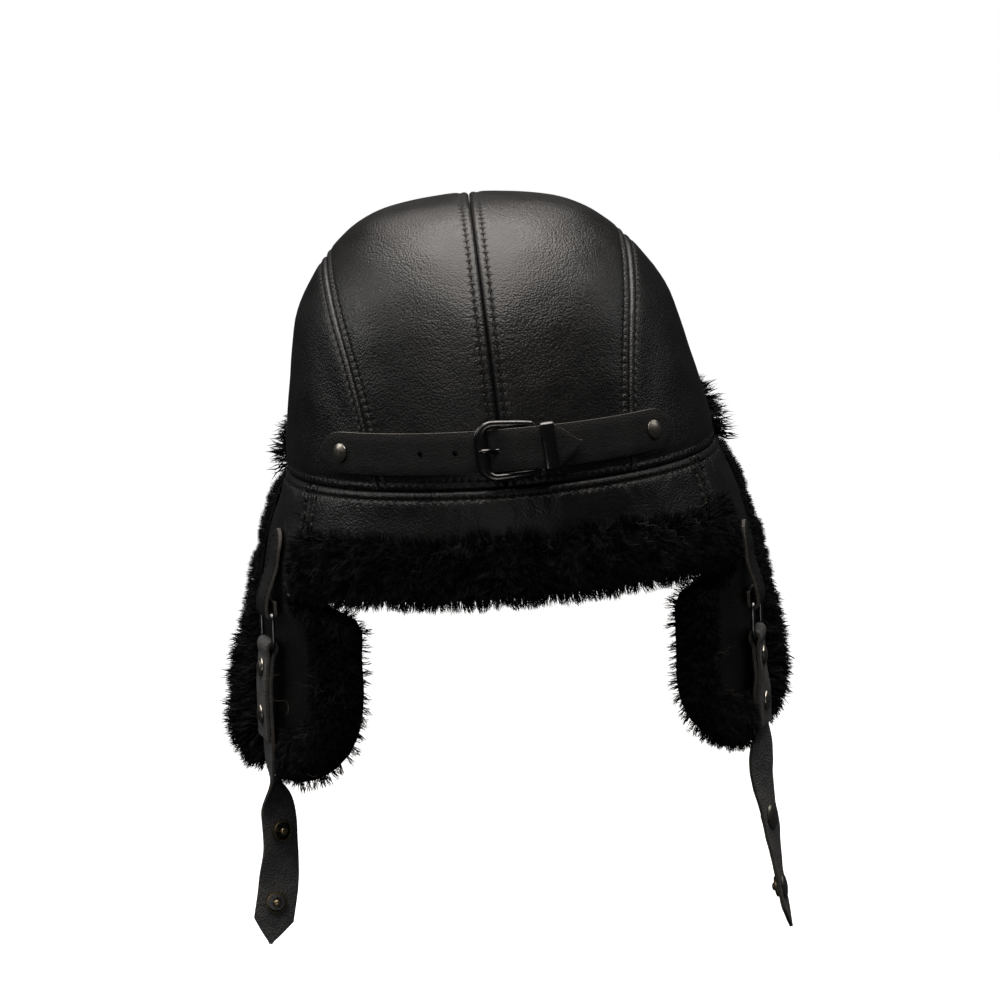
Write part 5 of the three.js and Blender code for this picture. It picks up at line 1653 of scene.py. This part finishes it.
def chinSide(word):
    angle = math.radians(hang[word]["tabAngle"])
    normal = wallNormal(angle)
    normal[0] *= sides[word]
    tangent = np.cross(upward, normal)
    tabTop = hang[word]["tabTop"]
    barDepth = tabTop + chin["tabLength"]
    bend = chin["ringWire"] / 2 + hat["gap"] + chin["wall"] / 2
    near = chin["tabSeat"] + chin["wall"] / 2
    ringOut = near + bend
    share = np.linspace(0, 1, 40)[1:-1]
    depth = tabTop + np.concatenate([[0, 0.15, 0.5, 1.0], share * chin["tabLength"]])
    def skin(down, out):
        return earPoint(word, angle, down, out)

    def tabOut(down):
        swung = smooth((down - tabTop) / chin["tabLength"], 0.4, 0.95)
        return near + (ringOut + bend - near) * swung

    flat = skin(depth, tabOut(depth))
    turn = np.radians(np.arange(0, 181, 15))
    thin = normal * np.cos(turn)[:, None] - upward * np.sin(turn)[:, None]
    wrapped = skin(barDepth, ringOut) + thin * bend
    inside = skin(barDepth, near) + upward * np.array([[2.0], [3.6], [5.4]])
    place = np.concatenate([flat, wrapped, inside])
    thins = np.concatenate([np.tile(normal, (len(flat), 1)), thin, np.tile(-normal, (3, 1))])
    width = np.full(len(place), chin["tabWidth"])
    width[:len(depth)] = roundedWidth(depth - tabTop, chin["tabWidth"])
    broad = np.tile(tangent, (len(place), 1))
    piece = strapPiece(f"earTab{word.title()}", [ribbonPart(place, broad, thins, width, chin["wall"], 311)])
    finishPiece(piece, "strap_leather", f"ear_tab_{word}")

    # a row of stitches follows the tab's edge, round its top
    inset = chin["tabWidth"] / 2 - 2.2
    low, arcAt = tabTop + chin["tabLength"] * 0.8, tabTop + chin["tabWidth"] / 2
    arc = np.linspace(math.pi, 0, 24)
    downs = np.concatenate([np.linspace(low, arcAt, 12)[:-1], arcAt - inset * np.sin(arc),
                            np.linspace(arcAt, low, 12)[1:]])
    asides = np.concatenate([np.full(11, -inset), inset * np.cos(arc), np.full(11, inset)])
    row = skin(downs, tabOut(downs) + chin["wall"] / 2 + 0.06) + tangent * asides[:, None]
    rows = [(row, np.tile(normal, (len(row), 1)))]
    sewRows(f"tabStitches{word.title()}", rows, chin["tabPitch"])

    ringTop = skin(barDepth, ringOut)
    hanging = unit(skin(barDepth + chin["ringHeight"], ringOut) - ringTop)
    halfRing = chin["tabWidth"] / 2 + hat["gap"]
    outline = []
    for a, b in ((1, 0), (1, 1), (-1, 1), (-1, 0)):
        for step in (0, 30, 60, 90):
            t = math.radians(90 - step if (a > 0) == (b == 0) else step)
            across = a * (halfRing + chin["ringCorner"] * math.cos(t))
            dropped = chin["ringCorner"] * (1 - math.sin(t))
            drop = dropped if b == 0 else chin["ringHeight"] - dropped
            outline.append(ringTop + tangent * across + hanging * drop)
    path = rounded(np.array(outline), 1)
    part = loopPart(path, normal, chin["ringWire"] / 2, chin["ringWire"] / 2, 14)
    piece = assemble(f"ring{word.title()}", [part], [ringGunmetalPaintedLight])
    finishPiece(piece, "gunmetal", f"ring_{word}")
    chinStrap(word, normal, ringTop + hanging * chin["ringHeight"])


def chinStrap(word, normal, centre):
    course = chinCourse[word]
    side = sides[word]
    total = chin["length"]
    chinBend = chin["ringWire"] / 2 + hat["gap"] + chin["wall"] / 2
    rest = (chin["wall"] + hat["gap"]) / 2

    def placeAt(part):
        part = np.asarray(part, dtype=float)
        shift = curveThrough(course[:, 0], course[:, 1], part) * total
        return centre + normal * shift[..., None] - upward * (part * total)[..., None]

    def frameAt(length):
        share = np.clip(np.asarray(length, dtype=float) / total, 0, 1)
        turn = math.asin(normal[1]) + np.radians(curveThrough(course[:, 0], course[:, 2], share))
        rising = unit(placeAt(np.maximum(share - 0.01, 0)) - placeAt(np.minimum(share + 0.01, 1)))
        thin = np.stack([side * np.cos(turn), np.sin(turn), 0 * turn], axis=-1)
        thin = unit(thin - rising * np.sum(thin * rising, axis=-1, keepdims=True))
        return placeAt(share), thin, rising, np.cross(rising, thin)

    def layerOut(length):
        return chinBend + (rest - chinBend) * smooth(length, 1, chin["ease"])

    down = np.concatenate([np.linspace(0, 8, 10), np.arange(9.5, chin["fold"], 1.6), [chin["fold"]]])
    place, thin, rising, broad = frameAt(down[::-1])
    outerPlace = place + thin * layerOut(down[::-1])[:, None]
    top = frameAt(0.0)
    turn = np.radians(np.arange(20, 180, 20))
    bentThin = top[1] * np.cos(turn)[:, None] + top[2] * np.sin(turn)[:, None]
    bentPlace = top[0] + bentThin * chinBend
    below = np.concatenate([down[:-1], np.arange(chin["fold"], total - 0.2, 1.5), [total - 0.15, total]])
    lowPlace, lowThin, _, lowBroad = frameAt(below)
    lowPlace = lowPlace - lowThin * layerOut(below)[:, None]
    fromTip = np.clip((total - below) / chin["point"], 0, 1)
    lowWidth = chin["width"] * np.maximum(fromTip, 0.06) ** 0.85
    part = ribbonPart(
        np.concatenate([outerPlace, bentPlace, lowPlace]),
        np.concatenate([broad, np.tile(top[3], (len(turn), 1)), lowBroad]),
        np.concatenate([thin, bentThin, -lowThin]),
        np.concatenate([np.full(len(down) + len(turn), chin["width"]), lowWidth]), chin["wall"],
        321 + (word == "left"),
    )
    piece = strapPiece(f"chinStrap{word.title()}", [part], chinLeather)
    finishPiece(piece, "strap_leather", f"chin_strap_{word}")
    places = [share * chin["fold"] for share in chin["foldSnaps"]]
    places += [share * total for share in chin["loneSnaps"]]
    for i, length in enumerate(places):
        at, axis, _, _ = frameAt(length)
        out = float(layerOut(length))
        face = chin["wall"] / 2 + hat["gap"] * 0.5
        if i < len(chin["foldSnaps"]):
            foot = (chin["foot"], chin["back"], -out - face)
            part = turnedPart(domedCap(chin["cap"], chin["rise"], out + face, foot), at, axis)
            metals, slotName = [nickel], "nickel"
        else:
            cap = (chin["studCap"], chin["rise"], -out + face)
            profile, paints = socketFoot(chin["studFoot"], chin["studBack"], -out - face, cap)
            part = turnedPart(profile, at, axis, 36, paints)
            metals, slotName = [brass, darkWell, nickel], "antique_brass"
        piece = assemble(f"snap{word.title()}{i + 1}", [part], metals)
        finishPiece(piece, slotName, f"snap_{word}_{i + 1}")


longStrap()
shortStrap()
buckleFrame()
bucklePin()
buckleKeeper()
rivets()
for word in sides:
    chinSide(word)
print("straps and metal made")
bpy.data.objects.remove(oneStitch)

# Light and floor


whiteLight = (1, 0.98, 0.96)
warmLight = (1, 0.94, 0.89)
lights = {
    "overhead": {"at": (-0.03, 0.0, 1.3), "aim": 0, "size": (2.3, 1.7), "power": 53, "colour": warmLight},
    "fill": {"at": (1.1, 1.5, 1.25), "aim": -0.05, "size": (1.2, 1.2), "power": 3.6, "colour": whiteLight},
    "front": {"at": (0.1, 1.9, -0.5), "aim": -0.1, "size": (0.7, 0.7), "power": 1.7, "colour": whiteLight},
    "leftSide": {"at": (1.5, -0.2, 0.8), "aim": 0, "size": (0.9, 0.9), "power": 6, "colour": whiteLight},
    "rightSide": {"at": (-1.5, -0.2, 0.8), "aim": 0, "size": (0.9, 0.9), "power": 2.8, "colour": whiteLight},
}


def areaLight(name, lamp):
    data = bpy.data.lights.new(name, "AREA")
    data.shape = "RECTANGLE"
    data.size, data.size_y = lamp["size"]
    data.energy = lamp["power"]
    data.color = lamp["colour"]
    way = Vector((0, 0, lamp["aim"])) - Vector(lamp["at"])
    turn = way.to_track_quat("-Z", "Y").to_matrix().to_4x4()
    addObject(name, data).matrix_world = Matrix.Translation(lamp["at"]) @ turn


def setStage():
    floorMesh = bpy.data.meshes.new("floor")
    reach = 14
    low = -0.75
    floorMesh.from_pydata([(-reach, -reach, low), (reach, -reach, low), (reach, reach, low),
                           (-reach, reach, low)], [], [(0, 1, 2, 3)])
    floor = addObject("floor", floorMesh)
    floorMesh.materials.append(Sheet("paleFloor").finish({
        "Base Color": (0.9, 0.9, 0.9, 1),
        "Roughness": 0.9,
        "Emission Color": (1, 1, 1, 1),
        "Emission Strength": 1.0,
    }))
    floor.visible_glossy = False
    floor.visible_diffuse = False
    world = bpy.data.worlds.new("studio")
    bpy.context.scene.world = world
    world.use_nodes = True
    sky = Nodes(world.node_tree)
    sky.tree.nodes.clear()
    path = sky.add("ShaderNodeLightPath")
    seen = sky.add("ShaderNodeBackground", {"Color": (1, 1, 1, 1)})
    lit = sky.add("ShaderNodeBackground", {"Color": (0.9, 0.95, 1, 1), "Strength": 0.02})
    mix = sky.add("ShaderNodeMixShader", {
        0: path.outputs["Is Camera Ray"], 1: lit.outputs[0], 2: seen.outputs[0],
    })
    sky.add("ShaderNodeOutputWorld", {0: mix.outputs[0]})


setStage()
for name, lamp in lights.items():
    areaLight(name, lamp)
view = bpy.context.scene.view_settings
view.view_transform = "Standard"
view.look = "None"
